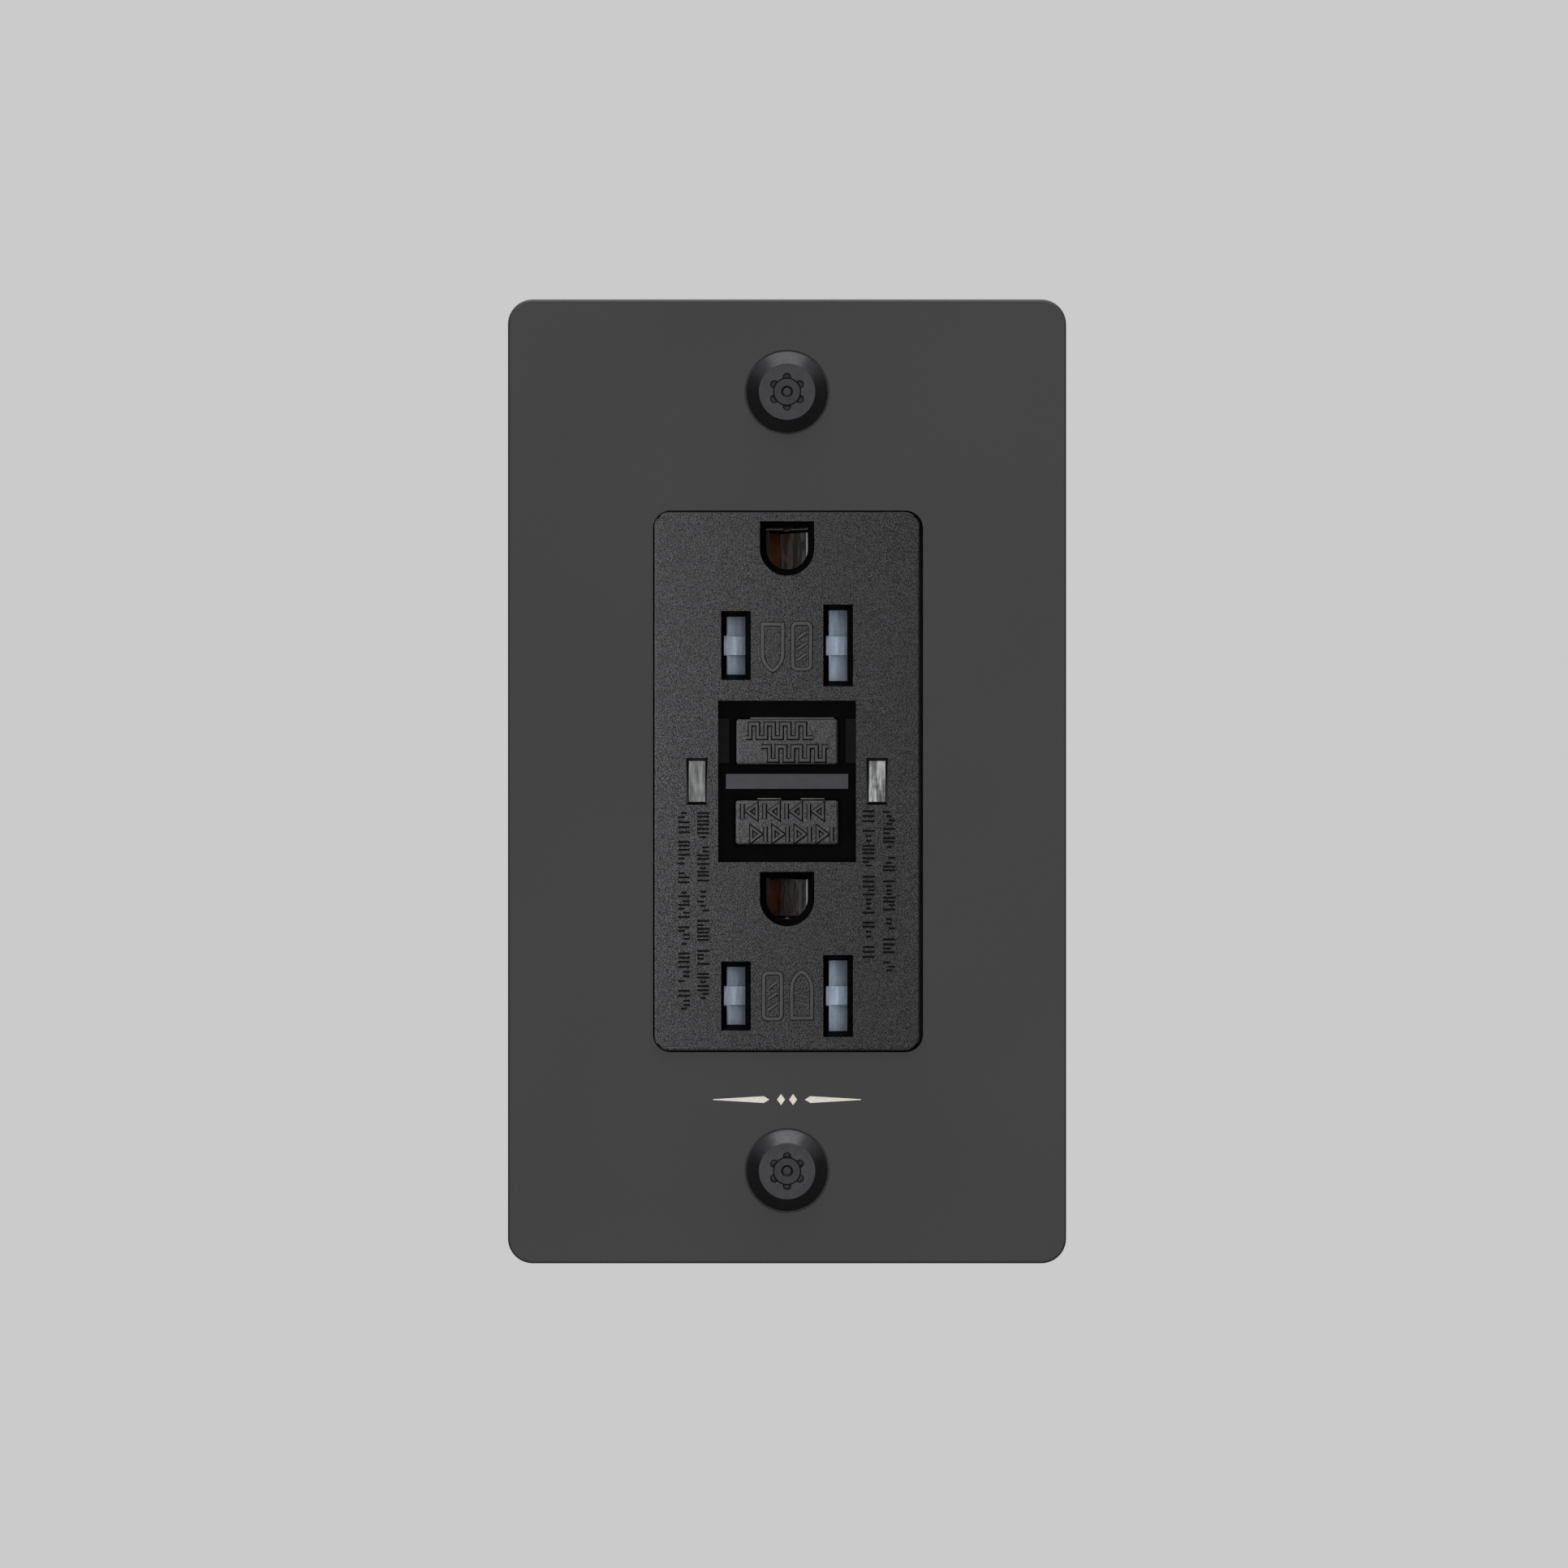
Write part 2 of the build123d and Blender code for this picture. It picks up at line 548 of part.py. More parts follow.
def line_terminal(s):
    """Line screw plate with a conductor that runs through the sensing cores."""
    x0, x1 = sorted((s * 17.0, s * 18.2))
    plate = block(x0, x1, 9.6, 18.6, 15.8, 26.4)
    x0, x1 = sorted((s * 16.5, s * 18.7))
    plate -= rod_x(x0, x1, TERMINAL_Y, TERMINAL_Z, 2.3)
    x0, x1 = sorted((s * 0.9, s * 17.1))
    plate += block(x0, x1, 12.6, 13.2, 25.3, 26.4)
    x0, x1 = sorted((s * 0.9, s * 2.1))
    plate += block(x0, x1, 12.6, 13.2, 20.4, 26.4)
    return plate + block(x0, x1, 12.6, BOARD_Y, 20.4, 21.0)


def clamp_plate(s, z):
    x0, x1 = sorted((s * 12.2, s * 14.2))
    plate = block(x0, x1, 9.5, 18.5, z - 4.0, z + 4.0)
    plate -= rod_x(x0 - 1, x1 + 1, TERMINAL_Y, z, 2.05)
    for dz in (-WIRE_STEP, WIRE_STEP):
        plate -= rod_y(s * WIRE_X, 9, 19, z + dz, 1.6)
    return plate


def terminal_screw(s, z):
    x0, x1 = sorted((s * 18.2, s * 20.8))
    head = rod_x(x0, x1, TERMINAL_Y, z, 3.9)
    outer = s * 20.8
    cut = sorted((outer, outer - s * 1.1))
    head -= block(cut[0], cut[1], TERMINAL_Y - 0.5, TERMINAL_Y + 0.5, z - 4.5, z + 4.5)
    head -= block(cut[0], cut[1], TERMINAL_Y - 2.3, TERMINAL_Y + 2.3, z - 0.5, z + 0.5)
    x0, x1 = sorted((s * 12.2, s * 18.2))
    return head + rod_x(x0, x1, TERMINAL_Y, z, 2.0)


def contact_arm(s):
    """Hinged strip: barrel on its pivot pin, flat tongue that reaches past the lifter."""
    x0, x1 = sorted((s * (ARM_X - 1.3), s * (ARM_X + 1.3)))
    arm = block(x0, x1, 14.9, 15.4, CONTACT_Z - 1.9, ARM_PIVOT_Z)
    arm += rod_x(x0, x1, ARM_PIVOT_Y, ARM_PIVOT_Z, 1.1)
    return arm - rod_x(x0 - 1, x1 + 1, ARM_PIVOT_Y, ARM_PIVOT_Z, 0.55)


def arm_contact(s):
    return rod_y(s * ARM_X, 14.4, 14.9, CONTACT_Z, 1.3)


def arm_post(s):
    """Pivot pin carried by two legs that stand on the board."""
    inner, outer = s * (ARM_X - 2.3), s * (ARM_X + 2.3)
    x0, x1 = sorted((inner, outer))
    post = rod_x(x0, x1, ARM_PIVOT_Y, ARM_PIVOT_Z, 0.5)
    for x in (inner, outer - s * 0.6):
        a, b = sorted((x, x + s * 0.6))
        post += block(a, b, ARM_PIVOT_Y - 0.8, BOARD_Y, ARM_PIVOT_Z - 0.8, ARM_PIVOT_Z + 0.8)
    return post


# ---------------------------------------------------------------- trip mechanism

def lifter():
    body = block(-4.6, 4.6, 15.0, 20.4, -8.6, -1.6)
    ridge = [(15.55, -5.4), (15.55, -4.8), (16.3, -4.2), (17.6, -4.2), (17.6, -6.0), (16.3, -6.0)]
    body += side_profile(ridge, -9.3, 9.3)
    body -= rod_y(0, 14, 22, RESET_Z, 1.8)
    body -= block(-3.4, 3.4, 16.9, 17.9, -9, -1.0)
    body -= block(-1.4, 1.4, 16.1, 21, -9, -8.0)
    return body


def latch_plate():
    plate = block(-3.1, 3.1, 17.05, 17.75, -8.4, -2.8)
    plate += block(-1.3, 1.3, 17.05, 17.75, -9.2, -8.3)
    plate -= prism(Pos(0, RESET_Z - 0.5) * Rot(0, 0, 90) * SlotOverall(3.2 + LATCH_TRAVEL, 3.2), 16, 19)
    return plate


def plunger():
    body = rod_z(0, COIL_Y, -28.0, COIL_TOP + 1.0, 1.4)
    return body + rod_z(0, COIL_Y, COIL_TOP + 1.0, -9.3, 1.0)


def solenoid_bobbin():
    tube = rod_z(0, COIL_Y, COIL_END, COIL_TOP, 2.3)
    for z in (COIL_END, COIL_TOP - 0.8):
        tube += block(-4.5, 4.5, COIL_Y - 4.5, COIL_Y + 4.5, z, z + 0.8)
    return tube - rod_z(0, COIL_Y, COIL_END + 0.6, COIL_TOP + 1, 1.65)


def solenoid_coil():
    plane = Plane(origin=(0, COIL_Y, COIL_END + 0.85), z_dir=(0, 0, 1))
    return extrude(plane * (Circle(4.15) - Circle(2.35)), amount=COIL_TOP - COIL_END - 1.7)


def solenoid_yoke():
    yoke = block(-4.5, 4.5, COIL_Y - 4.5, BOARD_Y, COIL_END - 0.8, COIL_END)
    yoke += block(-4.5, 4.5, COIL_Y - 4.5, BOARD_Y, COIL_TOP, COIL_TOP + 0.8)
    yoke += block(-4.5, 4.5, COIL_Y + 4.6, BOARD_Y, COIL_END - 0.8, COIL_TOP + 0.8)
    return yoke - rod_z(0, COIL_Y, COIL_TOP - 1, COIL_TOP + 1, 1.8)


def core(y0, y1):
    ring = rod_y(0, y0, y1, TERMINAL_Z, 8.9)
    ring -= rod_y(0, y0 - 1, y1 + 1, TERMINAL_Z, 3.9)
    return fillet(ring.edges(), 0.7)


def core_holder():
    cup = rod_y(0, CORE_FRONT, BOARD_Y, TERMINAL_Z, 9.8)
    cup -= rod_y(0, CORE_FRONT - 1, 18.2, TERMINAL_Z, 9.2)
    cup -= rod_y(0, 18.7, BOARD_Y + 1, TERMINAL_Z, 9.2)
    cup += rod_y(0, CORE_FRONT, BOARD_Y, TERMINAL_Z, 3.6)
    return cup - rod_y(0, CORE_FRONT - 1, BOARD_Y + 1, TERMINAL_Z, 2.9)


# ---------------------------------------------------------------- circuit board

def circuit_board():
    board = block(-18.5, 18.5, BOARD_Y, BOARD_Y + BOARD_T, -31.8, 31.8)
    for s in (-1, 1):
        x0, x1 = sorted((s * 14.4, s * 20))
        for z0, z1 in ((-33, -28.8), (28.8, 33)):
            board -= block(x0, x1, 20, 26, z0, z1)
        x0, x1 = sorted((s * 11.0, s * 20))
        for z in (-TERMINAL_Z, TERMINAL_Z):
            board -= block(x0, x1, 20, 26, z - 5.9, z + 5.9)
    return board


def varistor():
    disc = rod_x(12.9, 16.7, 17.9, 8.6, 4.4)
    return fillet(disc.edges(), 0.8)


def film_capacitor():
    case = block(-17.8, -13.2, 13.8, BOARD_Y, 3.6, 14.2)
    return fillet(case.edges().filter_by(Axis.Y), 0.4)


def electrolytic_capacitor():
    can = rod_y(15.2, 14.2, BOARD_Y, -9.6, 2.6)
    return fillet(edges_at(can, 14.2), 0.4)


def diode(x, z):
    body = rod_z(x, 20.9, z - 2.3, z + 2.3, 1.3)
    for dz in (-3.2, 2.3):
        body += rod_z(x, 20.9, z + dz, z + dz + 0.9, 0.35)
    for dz in (-3.0, 3.0):
        body += rod_y(x, 20.7, BOARD_Y, z + dz, 0.3)
    return body


def resistor(x, z):
    body = rod_z(x, 21.3, z - 2.6, z + 2.6, 0.95)
    for dz in (-3.4, 2.6):
        body += rod_z(x, 21.3, z + dz, z + dz + 0.8, 0.3)
    for dz in (-3.2, 3.2):
        body += rod_y(x, 21.2, BOARD_Y, z + dz, 0.28)
    return body


def thyristor():
    half = Pos(8.0, -17.0) * Circle(2.3)
    half -= Pos(8.0, -19.9) * Rectangle(6, 2.6)
    case = prism(half, 15.6, 20.4)
    for x in (6.9, 8.0, 9.1):
        case += block(x - 0.22, x + 0.22, 20.3, BOARD_Y, -17.3, -16.8)
    return case


def control_chip():
    back = BOARD_Y + BOARD_T
    case = block(-2.0, 2.0, back, back + 1.3, -8.0, -0.6)
    for i in range(4):
        z = -7.2 + 1.95 * i
        case += block(-3.1, 3.1, back, back + 0.3, z - 0.25, z + 0.25)
    return case


def indicator_lamp(x):
    lamp = block(x - 1.0, x + 1.0, BOARD_Y - 0.7, BOARD_Y, -1.6, 1.6)
    return lamp + block(x - 0.8, x + 0.8, BOARD_Y - 1.1, BOARD_Y - 0.6, -1.0, 1.0)


def light_pipe(x):
    pipe = block(x - LENS_W / 2, x + LENS_W / 2, BUTTON_FRONT, 21.2, -LENS_H / 2, LENS_H / 2)
    return pipe


# ---------------------------------------------------------------- write the nodes

save("wall_plate", wall_plate())
save("plate_screws", group([plate_screw(z) for z in (PLATE_SCREW_Z, -PLATE_SCREW_Z)]))
save("front_cover", front_cover())
save("mounting_strap", mounting_strap())
save("box_screws", group([box_screw(z) for z in (BOX_SCREW_Z, -BOX_SCREW_Z)]))
for label, zc in zip(("upper", "lower"), OUTLET_Z):
    save("ground_contact_" + label, ground_contact(zc + GROUND_RISE))
    save("shutter_" + label, shutter(zc))
    save("shutter_spring_" + label, shutter_spring(zc))
    save("shutter_base_" + label, shutter_base(zc))
rivets = [ground_rivet(zc + GROUND_RISE + dz) for zc in OUTLET_Z for dz in (-3.55, 3.55)]
save("ground_rivets", group(rivets))
save("ground_screw", ground_screw())
save("middle_housing", middle_housing())
save("rear_housing", rear_housing())
corners = [(x, z) for x in (-BODY_SCREW_X, BODY_SCREW_X) for z in (-BODY_SCREW_Z, BODY_SCREW_Z)]
save("housing_screws", group([housing_screw(x, z) for x, z in corners]))
save("test_button", test_button())
save("test_spring", button_spring(TEST_Z))
save("test_contact", test_contact())
save("reset_button", reset_button())
save("reset_pin", reset_pin())
save("reset_spring", button_spring(RESET_Z))
save("lifter", lifter())
save("latch_plate", latch_plate())
save("plunger", plunger())
save("solenoid_bobbin", solenoid_bobbin())
save("solenoid_coil", solenoid_coil())
save("solenoid_yoke", solenoid_yoke())
save("sensing_core", core(CORE_FRONT + 0.3, 18.0))
save("neutral_core", core(18.9, 22.3))
save("core_holder", core_holder())
for label, s in (("hot", -1), ("neutral", 1)):
    save(label + "_bus", bus(s))
    save(label + "_line_terminal", line_terminal(s))
    save(label + "_arm", contact_arm(s))
    save(label + "_arm_contact", arm_contact(s))
    save(label + "_arm_post", arm_post(s))
save("fixed_contacts", group([fixed_contact(s) for s in (-1, 1)]))
ends = [(s, z) for s in (-1, 1) for z in (-TERMINAL_Z, TERMINAL_Z)]
save("clamp_plates", group([clamp_plate(s, z) for s, z in ends]))
save("brass_terminal_screws", group([terminal_screw(s, z) for s, z in ends if s < 0]))
save("silver_terminal_screws", group([terminal_screw(s, z) for s, z in ends if s > 0]))
save("circuit_board", circuit_board())
save("varistor", varistor())
save("film_capacitor", film_capacitor())
save("electrolytic_capacitor", electrolytic_capacitor())
save("diodes", group([diode(x, z) for x in (-17.2, -14.0) for z in (-10.8, -3.4)]))
save("resistors", group([resistor(x, -19.0) for x in (-9.9, -7.5)]))
save("thyristor", thyristor())
save("control_chip", control_chip())
save("indicator_lamps", group([indicator_lamp(x) for x in (-LENS_X, LENS_X)]))
save("light_pipe_left", light_pipe(-LENS_X))
save("light_pipe_right", light_pipe(LENS_X))
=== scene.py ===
import json
import math
import random

import bmesh
import bpy
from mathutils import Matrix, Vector

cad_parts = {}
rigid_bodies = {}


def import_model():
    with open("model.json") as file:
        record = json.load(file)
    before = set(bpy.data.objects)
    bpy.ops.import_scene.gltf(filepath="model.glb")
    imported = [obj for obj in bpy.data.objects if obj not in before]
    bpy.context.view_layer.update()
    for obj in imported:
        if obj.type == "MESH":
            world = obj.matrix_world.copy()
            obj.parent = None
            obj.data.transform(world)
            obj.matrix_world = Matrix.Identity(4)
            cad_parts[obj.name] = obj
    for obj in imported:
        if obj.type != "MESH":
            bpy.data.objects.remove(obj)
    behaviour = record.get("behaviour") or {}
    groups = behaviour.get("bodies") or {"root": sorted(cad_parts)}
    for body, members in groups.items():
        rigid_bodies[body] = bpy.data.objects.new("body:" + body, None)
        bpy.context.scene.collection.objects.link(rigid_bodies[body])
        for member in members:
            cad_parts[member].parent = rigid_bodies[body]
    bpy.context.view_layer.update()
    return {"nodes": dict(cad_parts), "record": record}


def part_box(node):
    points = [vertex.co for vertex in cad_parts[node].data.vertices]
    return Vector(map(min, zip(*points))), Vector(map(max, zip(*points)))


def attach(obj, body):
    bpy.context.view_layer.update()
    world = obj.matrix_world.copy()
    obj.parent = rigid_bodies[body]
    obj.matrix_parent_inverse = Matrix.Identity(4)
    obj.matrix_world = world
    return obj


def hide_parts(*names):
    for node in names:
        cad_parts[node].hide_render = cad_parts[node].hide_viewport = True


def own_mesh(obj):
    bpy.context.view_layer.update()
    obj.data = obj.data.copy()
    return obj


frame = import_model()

# Looks of a ground-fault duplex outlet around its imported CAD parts.
# Shapes below are in millimetres on the frame's own axes: x to the right, y into the wall, z up.
# They are scaled by MM when a piece is made.

NODES = frame["nodes"]
SLOT_OF = {part["node"]: part["material_slot"] for part in frame["record"]["subparts"]}
MM = 0.001
DICE = random.Random(7)


def corner(node, end):
    """One corner of a CAD node's box, in millimetres."""
    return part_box(node)[end] / MM


def upper_screw_z(node):
    """Height of the upper of two equal round-headed screws, from the box of the pair."""
    low, high = corner(node, 0), corner(node, 1)
    return high.z - (high.x - low.x) / 2


FACE_Y = corner("front_cover", 0).y
PLATE_Y = corner("wall_plate", 0).y
SCREW_Y = corner("plate_screws", 0).y
PLATE_SCREW_Z = upper_screw_z("plate_screws")
BOX_SCREW_Z = upper_screw_z("box_screws")
BLADE_SPACING = 12.7


# ---------------------------------------------------------------- materials

class Surface:
    """Builds one node material; every texture reads object coordinates, in metres."""

    def __init__(self, name, colour, rough, metal=0.0, **sockets):
        self.mat = bpy.data.materials.new(name)
        self.mat.use_nodes = True
        self.tree = self.mat.node_tree
        self.shader = self.tree.nodes["Principled BSDF"]
        self.shader.inputs["Base Color"].default_value = (*colour, 1)
        self.shader.inputs["Roughness"].default_value = rough
        self.shader.inputs["Metallic"].default_value = metal
        for socket, value in sockets.items():
            self.shader.inputs[socket.replace("_", " ")].default_value = value
        coords = self.tree.nodes.new("ShaderNodeTexCoord")
        self.place = coords.outputs["Object"]
        self.relief = None

    def new(self, kind, **settings):
        node = self.tree.nodes.new("ShaderNode" + kind)
        for key, value in settings.items():
            setattr(node, key, value)
        return node

    def join(self, value, socket):
        if isinstance(value, (int, float)):
            socket.default_value = value
        elif isinstance(value, tuple):
            socket.default_value = (*value, 1) if len(socket.default_value) == 4 else value
        else:
            self.tree.links.new(value, socket)

    def math(self, operation, a, b=0.0):
        node = self.new("Math", operation=operation)
        self.join(a, node.inputs[0])
        self.join(b, node.inputs[1])
        return node.outputs[0]

    def axes(self):
        node = self.new("SeparateXYZ")
        self.join(self.place, node.inputs[0])
        return node.outputs

    def stretched(self, sx, sy, sz):
        node = self.new("Mapping")
        self.join(self.place, node.inputs["Vector"])
        node.inputs["Scale"].default_value = (sx, sy, sz)
        return node.outputs[0]

    def noise(self, size, detail=2.0, rough=0.5, at=None, distort=0.0):
        """Noise with features about size millimetres across."""
        node = self.new("TexNoise")
        self.join(at or self.place, node.inputs["Vector"])
        node.inputs["Scale"].default_value = 1 / (size * MM)
        node.inputs["Detail"].default_value = detail
        node.inputs["Roughness"].default_value = rough
        node.inputs["Distortion"].default_value = distort
        return node.outputs["Fac"]

    def cells(self, size, at=None, feature="F1"):
        node = self.new("TexVoronoi", feature=feature)
        self.join(at or self.place, node.inputs["Vector"])
        node.inputs["Scale"].default_value = 1 / (size * MM)
        return node.outputs["Distance"]

    def span(self, value, low, high, out_low=0.0, out_high=1.0):
        """Runs smoothly from out_low to out_high as value goes from low to high."""
        node = self.new("MapRange", interpolation_type="SMOOTHSTEP")
        for number, socket in zip((value, low, high, out_low, out_high), node.inputs):
            self.join(number, socket)
        return node.outputs[0]

    def tint(self, share, a, b):
        """Colour a where share is 0, colour b where it is 1."""
        node = self.new("Mix", data_type="RGBA")
        self.join(share, node.inputs[0])
        self.join(a, node.inputs[6])
        self.join(b, node.inputs[7])
        return node.outputs[2]

    def colour(self, value):
        self.join(value, self.shader.inputs["Base Color"])

    def roughness(self, value):
        self.join(value, self.shader.inputs["Roughness"])

    def bump(self, height, depth, strength=1.0):
        """Adds relief of depth millimetres on top of what is there."""
        node = self.new("Bump")
        node.inputs["Distance"].default_value = depth * MM
        self.join(strength, node.inputs["Strength"])
        self.join(height, node.inputs["Height"])
        if self.relief is not None:
            self.join(self.relief, node.inputs["Normal"])
        self.relief = node.outputs[0]
        self.join(self.relief, self.shader.inputs["Normal"])


def scaled(colour, k):
    return tuple(c * k for c in colour)


def mottled(s, colour, size, amount):
    """Base colour that drifts by a small share over patches of the given size."""
    wander = s.span(s.noise(size, 3), 0.3, 0.7)
    s.colour(s.tint(wander, scaled(colour, 1 - amount), scaled(colour, 1 + amount)))


def plate_paint():
    base = (0.044, 0.044, 0.046)
    s = Surface("plate_satin_black", base, 0.42, 0.55)
    broad = s.span(s.noise(45, 2), 0.3, 0.7)
    fine = s.noise(0.16, 2)
    tone = s.tint(broad, scaled(base, 0.95), scaled(base, 1.04))
    tone = s.tint(s.math("MULTIPLY", fine, 0.12), tone, scaled(base, 1.5))
    s.colour(tone)
    s.roughness(s.span(s.noise(0.5, 3), 0.2, 0.8, 0.36, 0.46))
    s.bump(s.noise(0.12, 2), 0.0035, 0.6)
    s.bump(s.noise(2.5, 2), 0.004, 0.4)
    return s.mat


def screw_paint(name, tone):
    s = Surface(name, tone, 0.32, 0.88)
    mottled(s, tone, 0.8, 0.08)
    s.roughness(s.span(s.noise(0.3, 3), 0.2, 0.8, 0.25, 0.39))
    s.bump(s.noise(0.14, 2), 0.004, 0.6)
    return s.mat


def grained(name, base, grain_size, depth, rough, contrast):
    """Spark-eroded mould grain: a pebbled relief with painted light on its raised grain, and broad random
    patches of tone.
    """
    s = Surface(name, base, rough, Specular_IOR_Level=0.2)
    grain = s.noise(grain_size, 1.5, 0.6)
    pits = s.noise(grain_size * 1.9, 1)
    # Painted light: the tone is lighter where the grain stands high, as light on the pebbles.
    lit = s.span(grain, 0.42, 0.58)
    tone = s.tint(lit, scaled(base, 1 - contrast), scaled(base, 1 + contrast))
    patch = s.span(s.noise(9, 2), 0.3, 0.7)
    s.colour(s.tint(s.math("MULTIPLY", patch, 0.2), tone, scaled(base, 0.7)))
    s.roughness(s.span(pits, 0.3, 0.7, rough - 0.06, rough + 0.08))
    s.bump(s.math("ADD", grain, s.math("MULTIPLY", pits, 0.5)), depth, 0.9)
    return s.mat


def polished(name, colour, specular):
    """Polished plastic; here its colours paint shade on the walls of the openings and a highlight on the
    button ledges.
    """
    s = Surface(name, colour, 0.25, Specular_IOR_Level=specular)
    mottled(s, colour, 1.5, 0.2)
    s.bump(s.noise(0.4, 2), 0.004, 0.4)
    return s.mat


def divider_plastic():
    colour = (0.024, 0.024, 0.029)
    s = Surface("divider_smooth_plastic", colour, 0.4, Specular_IOR_Level=0.3)
    mottled(s, colour, 1.6, 0.1)
    s.bump(s.noise(0.2, 2), 0.004, 0.5)
    return s.mat


def smooth_mark():
    colour = (0.031, 0.031, 0.032)
    s = Surface("mark_smooth_plastic", colour, 0.42, Specular_IOR_Level=0.3)
    mottled(s, colour, 0.6, 0.12)
    s.bump(s.noise(0.1, 2), 0.004, 0.5)
    return s.mat


def mark_wall():
    # Near-black painted shade for the steep sides of raised marks, where shadow falls.
    colour = (0.0022, 0.0022, 0.0022)
    s = Surface("mark_wall_black", colour, 0.3, Specular_IOR_Level=0.05)
    mottled(s, colour, 0.3, 0.3)
    return s.mat


def cream_ink():
    colour = (0.78, 0.74, 0.65)
    s = Surface("print_cream_ink", colour, 0.6)
    mottled(s, colour, 0.35, 0.06)
    s.bump(s.noise(0.08, 2), 0.004, 0.5)
    return s.mat


def rightness(s, at_left, at_right):
    """Runs from at_left at the left blade openings to at_right at the right ones; it sets painted shade
    on the left shutters.
    """
    return s.span(s.axes()[0], -7 * MM, 7 * MM, at_left, at_right)


def ridge_plastic():
    s = Surface("shutter_ridge_bright", (0.5, 0.56, 0.63), 0.24)
    # Painted shade: the ridges at the left openings are darker.
    s.colour(s.tint(rightness(s, 0, 1), (0.34, 0.37, 0.4), (0.5, 0.56, 0.63)))
    s.roughness(s.span(s.noise(0.5, 2), 0.3, 0.7, 0.2, 0.32))
    s.bump(s.noise(0.2, 2), 0.004, 0.5)
    return s.mat


def shutter_plastic():
    s = Surface("shutter_translucent", (0.5, 0.58, 0.66), 0.28,
                Subsurface_Weight=0.35, Subsurface_Scale=0.001)
    s.shader.inputs["Subsurface Radius"].default_value = (0.8, 0.9, 1.0)
    streaks = s.noise(0.9, 3, at=s.stretched(1.6, 1, 0.25))
    tone = s.tint(s.span(streaks, 0.3, 0.7), (0.36, 0.43, 0.54), (0.5, 0.6, 0.74))
    # Painted shade: the shutters at the left openings are mixed towards a darker blue-grey.
    s.colour(s.tint(rightness(s, 0.3, 0), tone, (0.3, 0.32, 0.37)))
    s.roughness(s.span(s.noise(0.4, 2), 0.2, 0.8, 0.2, 0.38))
    s.bump(s.noise(0.35, 2), 0.008, 0.5)
    return s.mat


def lens_plastic(name, dark, light):
    """Clear light guide drawn opaque; soft upright streaks in its colour are a painted reflection of what
    lies behind and around it.
    """
    s = Surface(name, (0.4, 0.42, 0.43), 0.16, Coat_Weight=0.4)
    streaks = s.noise(0.42, 3, at=s.stretched(1, 1, 0.12))
    cloud = s.noise(1.5, 2)
    both = s.math("ADD", s.math("MULTIPLY", streaks, 0.75), s.math("MULTIPLY", cloud, 0.3))
    share = s.span(both, 0.38, 0.66)
    s.colour(s.tint(share, scaled((0.96, 1.0, 1.01), dark), scaled((0.97, 1.0, 1.01), light)))
    s.roughness(s.span(cloud, 0.2, 0.8, 0.12, 0.24))
    s.bump(streaks, 0.02, 0.4)
    return s.mat


def moulded(name, colour, rough, grain=0.35, depth=0.012):
    """Plain moulded plastic or lacquer with a faint grain."""
    s = Surface(name, colour, rough)
    mottled(s, colour, 6, 0.12)
    s.roughness(s.span(s.noise(1.2, 3), 0.2, 0.8, rough - 0.07, rough + 0.07))
    s.bump(s.noise(grain, 2), depth, 0.6)
    return s.mat


def metal(name, colour, rough, spots=None):
    """Rolled or plated metal with drawn streaks, fine pits and a little staining."""
    s = Surface(name, colour, rough, 1.0)
    drawn = s.noise(0.5, 3, at=s.stretched(1, 1, 8))
    stain = s.span(s.noise(5, 4, 0.6), 0.35, 0.75)
    tone = s.tint(drawn, scaled(colour, 0.86), scaled(colour, 1.1))
    tone = s.tint(s.math("MULTIPLY", stain, 0.35), tone, spots or scaled(colour, 0.7))
    s.colour(tone)
    s.roughness(s.span(drawn, 0.2, 0.8, rough - 0.08, rough + 0.12))
    s.bump(drawn, 0.006, 0.5)
    s.bump(s.noise(0.15, 2), 0.0036, 0.4)
    return s.mat


def leaf_with_painted_reflections():
    """Grip leaf with upright bright streaks painted in its colour as reflections."""
    s = Surface("ground_leaf_burnished", (0.58, 0.6, 0.62), 0.4)
    streaks = s.noise(1.1, 3, 0.6, at=s.stretched(1, 1, 0.3), distort=0.6)
    # Painted reflections: the streaks run from grey to white in the base colour.
    s.colour(s.tint(s.span(streaks, 0.42, 0.66), (0.36, 0.37, 0.38), (1.0, 1.0, 1.0)))
    s.roughness(s.span(streaks, 0.3, 0.7, 0.5, 0.3))
    s.bump(s.noise(0.3, 2), 0.006, 0.5)
    return s.mat


def wound(name, colour, axis, pitch):
    """Enamelled wire winding: fine turns along one axis, with painted shade between the turns."""
    s = Surface(name, colour, 0.3, 0.6, Coat_Weight=0.5)
    along = s.math("MULTIPLY", s.axes()[axis], 2 * math.pi / (pitch * MM))
    ridges = s.math("MULTIPLY", s.math("ADD", s.math("SINE", along), 1), 0.5)
    drift = s.noise(0.8, 3)
    # Painted shade and light: the tone is darker in the grooves between turns and lighter on their
    # crests.
    tone = s.tint(ridges, scaled(colour, 0.45), scaled(colour, 1.2))
    s.colour(s.tint(s.math("MULTIPLY", drift, 0.4), tone, scaled(colour, 0.6)))
    s.bump(ridges, 0.08, 0.8)
    return s.mat


def board_laminate():
    s = Surface("board_solder_mask", (0.02, 0.14, 0.06), 0.28, Coat_Weight=0.3)
    weave = s.cells(1.4, at=s.stretched(1, 0.1, 1))
    tracks = s.span(s.cells(3.2, feature="DISTANCE_TO_EDGE"), 0.06, 0.09)
    tone = s.tint(tracks, (0.012, 0.1, 0.04), (0.02, 0.17, 0.07))
    s.colour(s.tint(s.math("MULTIPLY", weave, 0.15), tone, (0.05, 0.22, 0.1)))
    s.bump(tracks, 0.03, 0.6)
    return s.mat


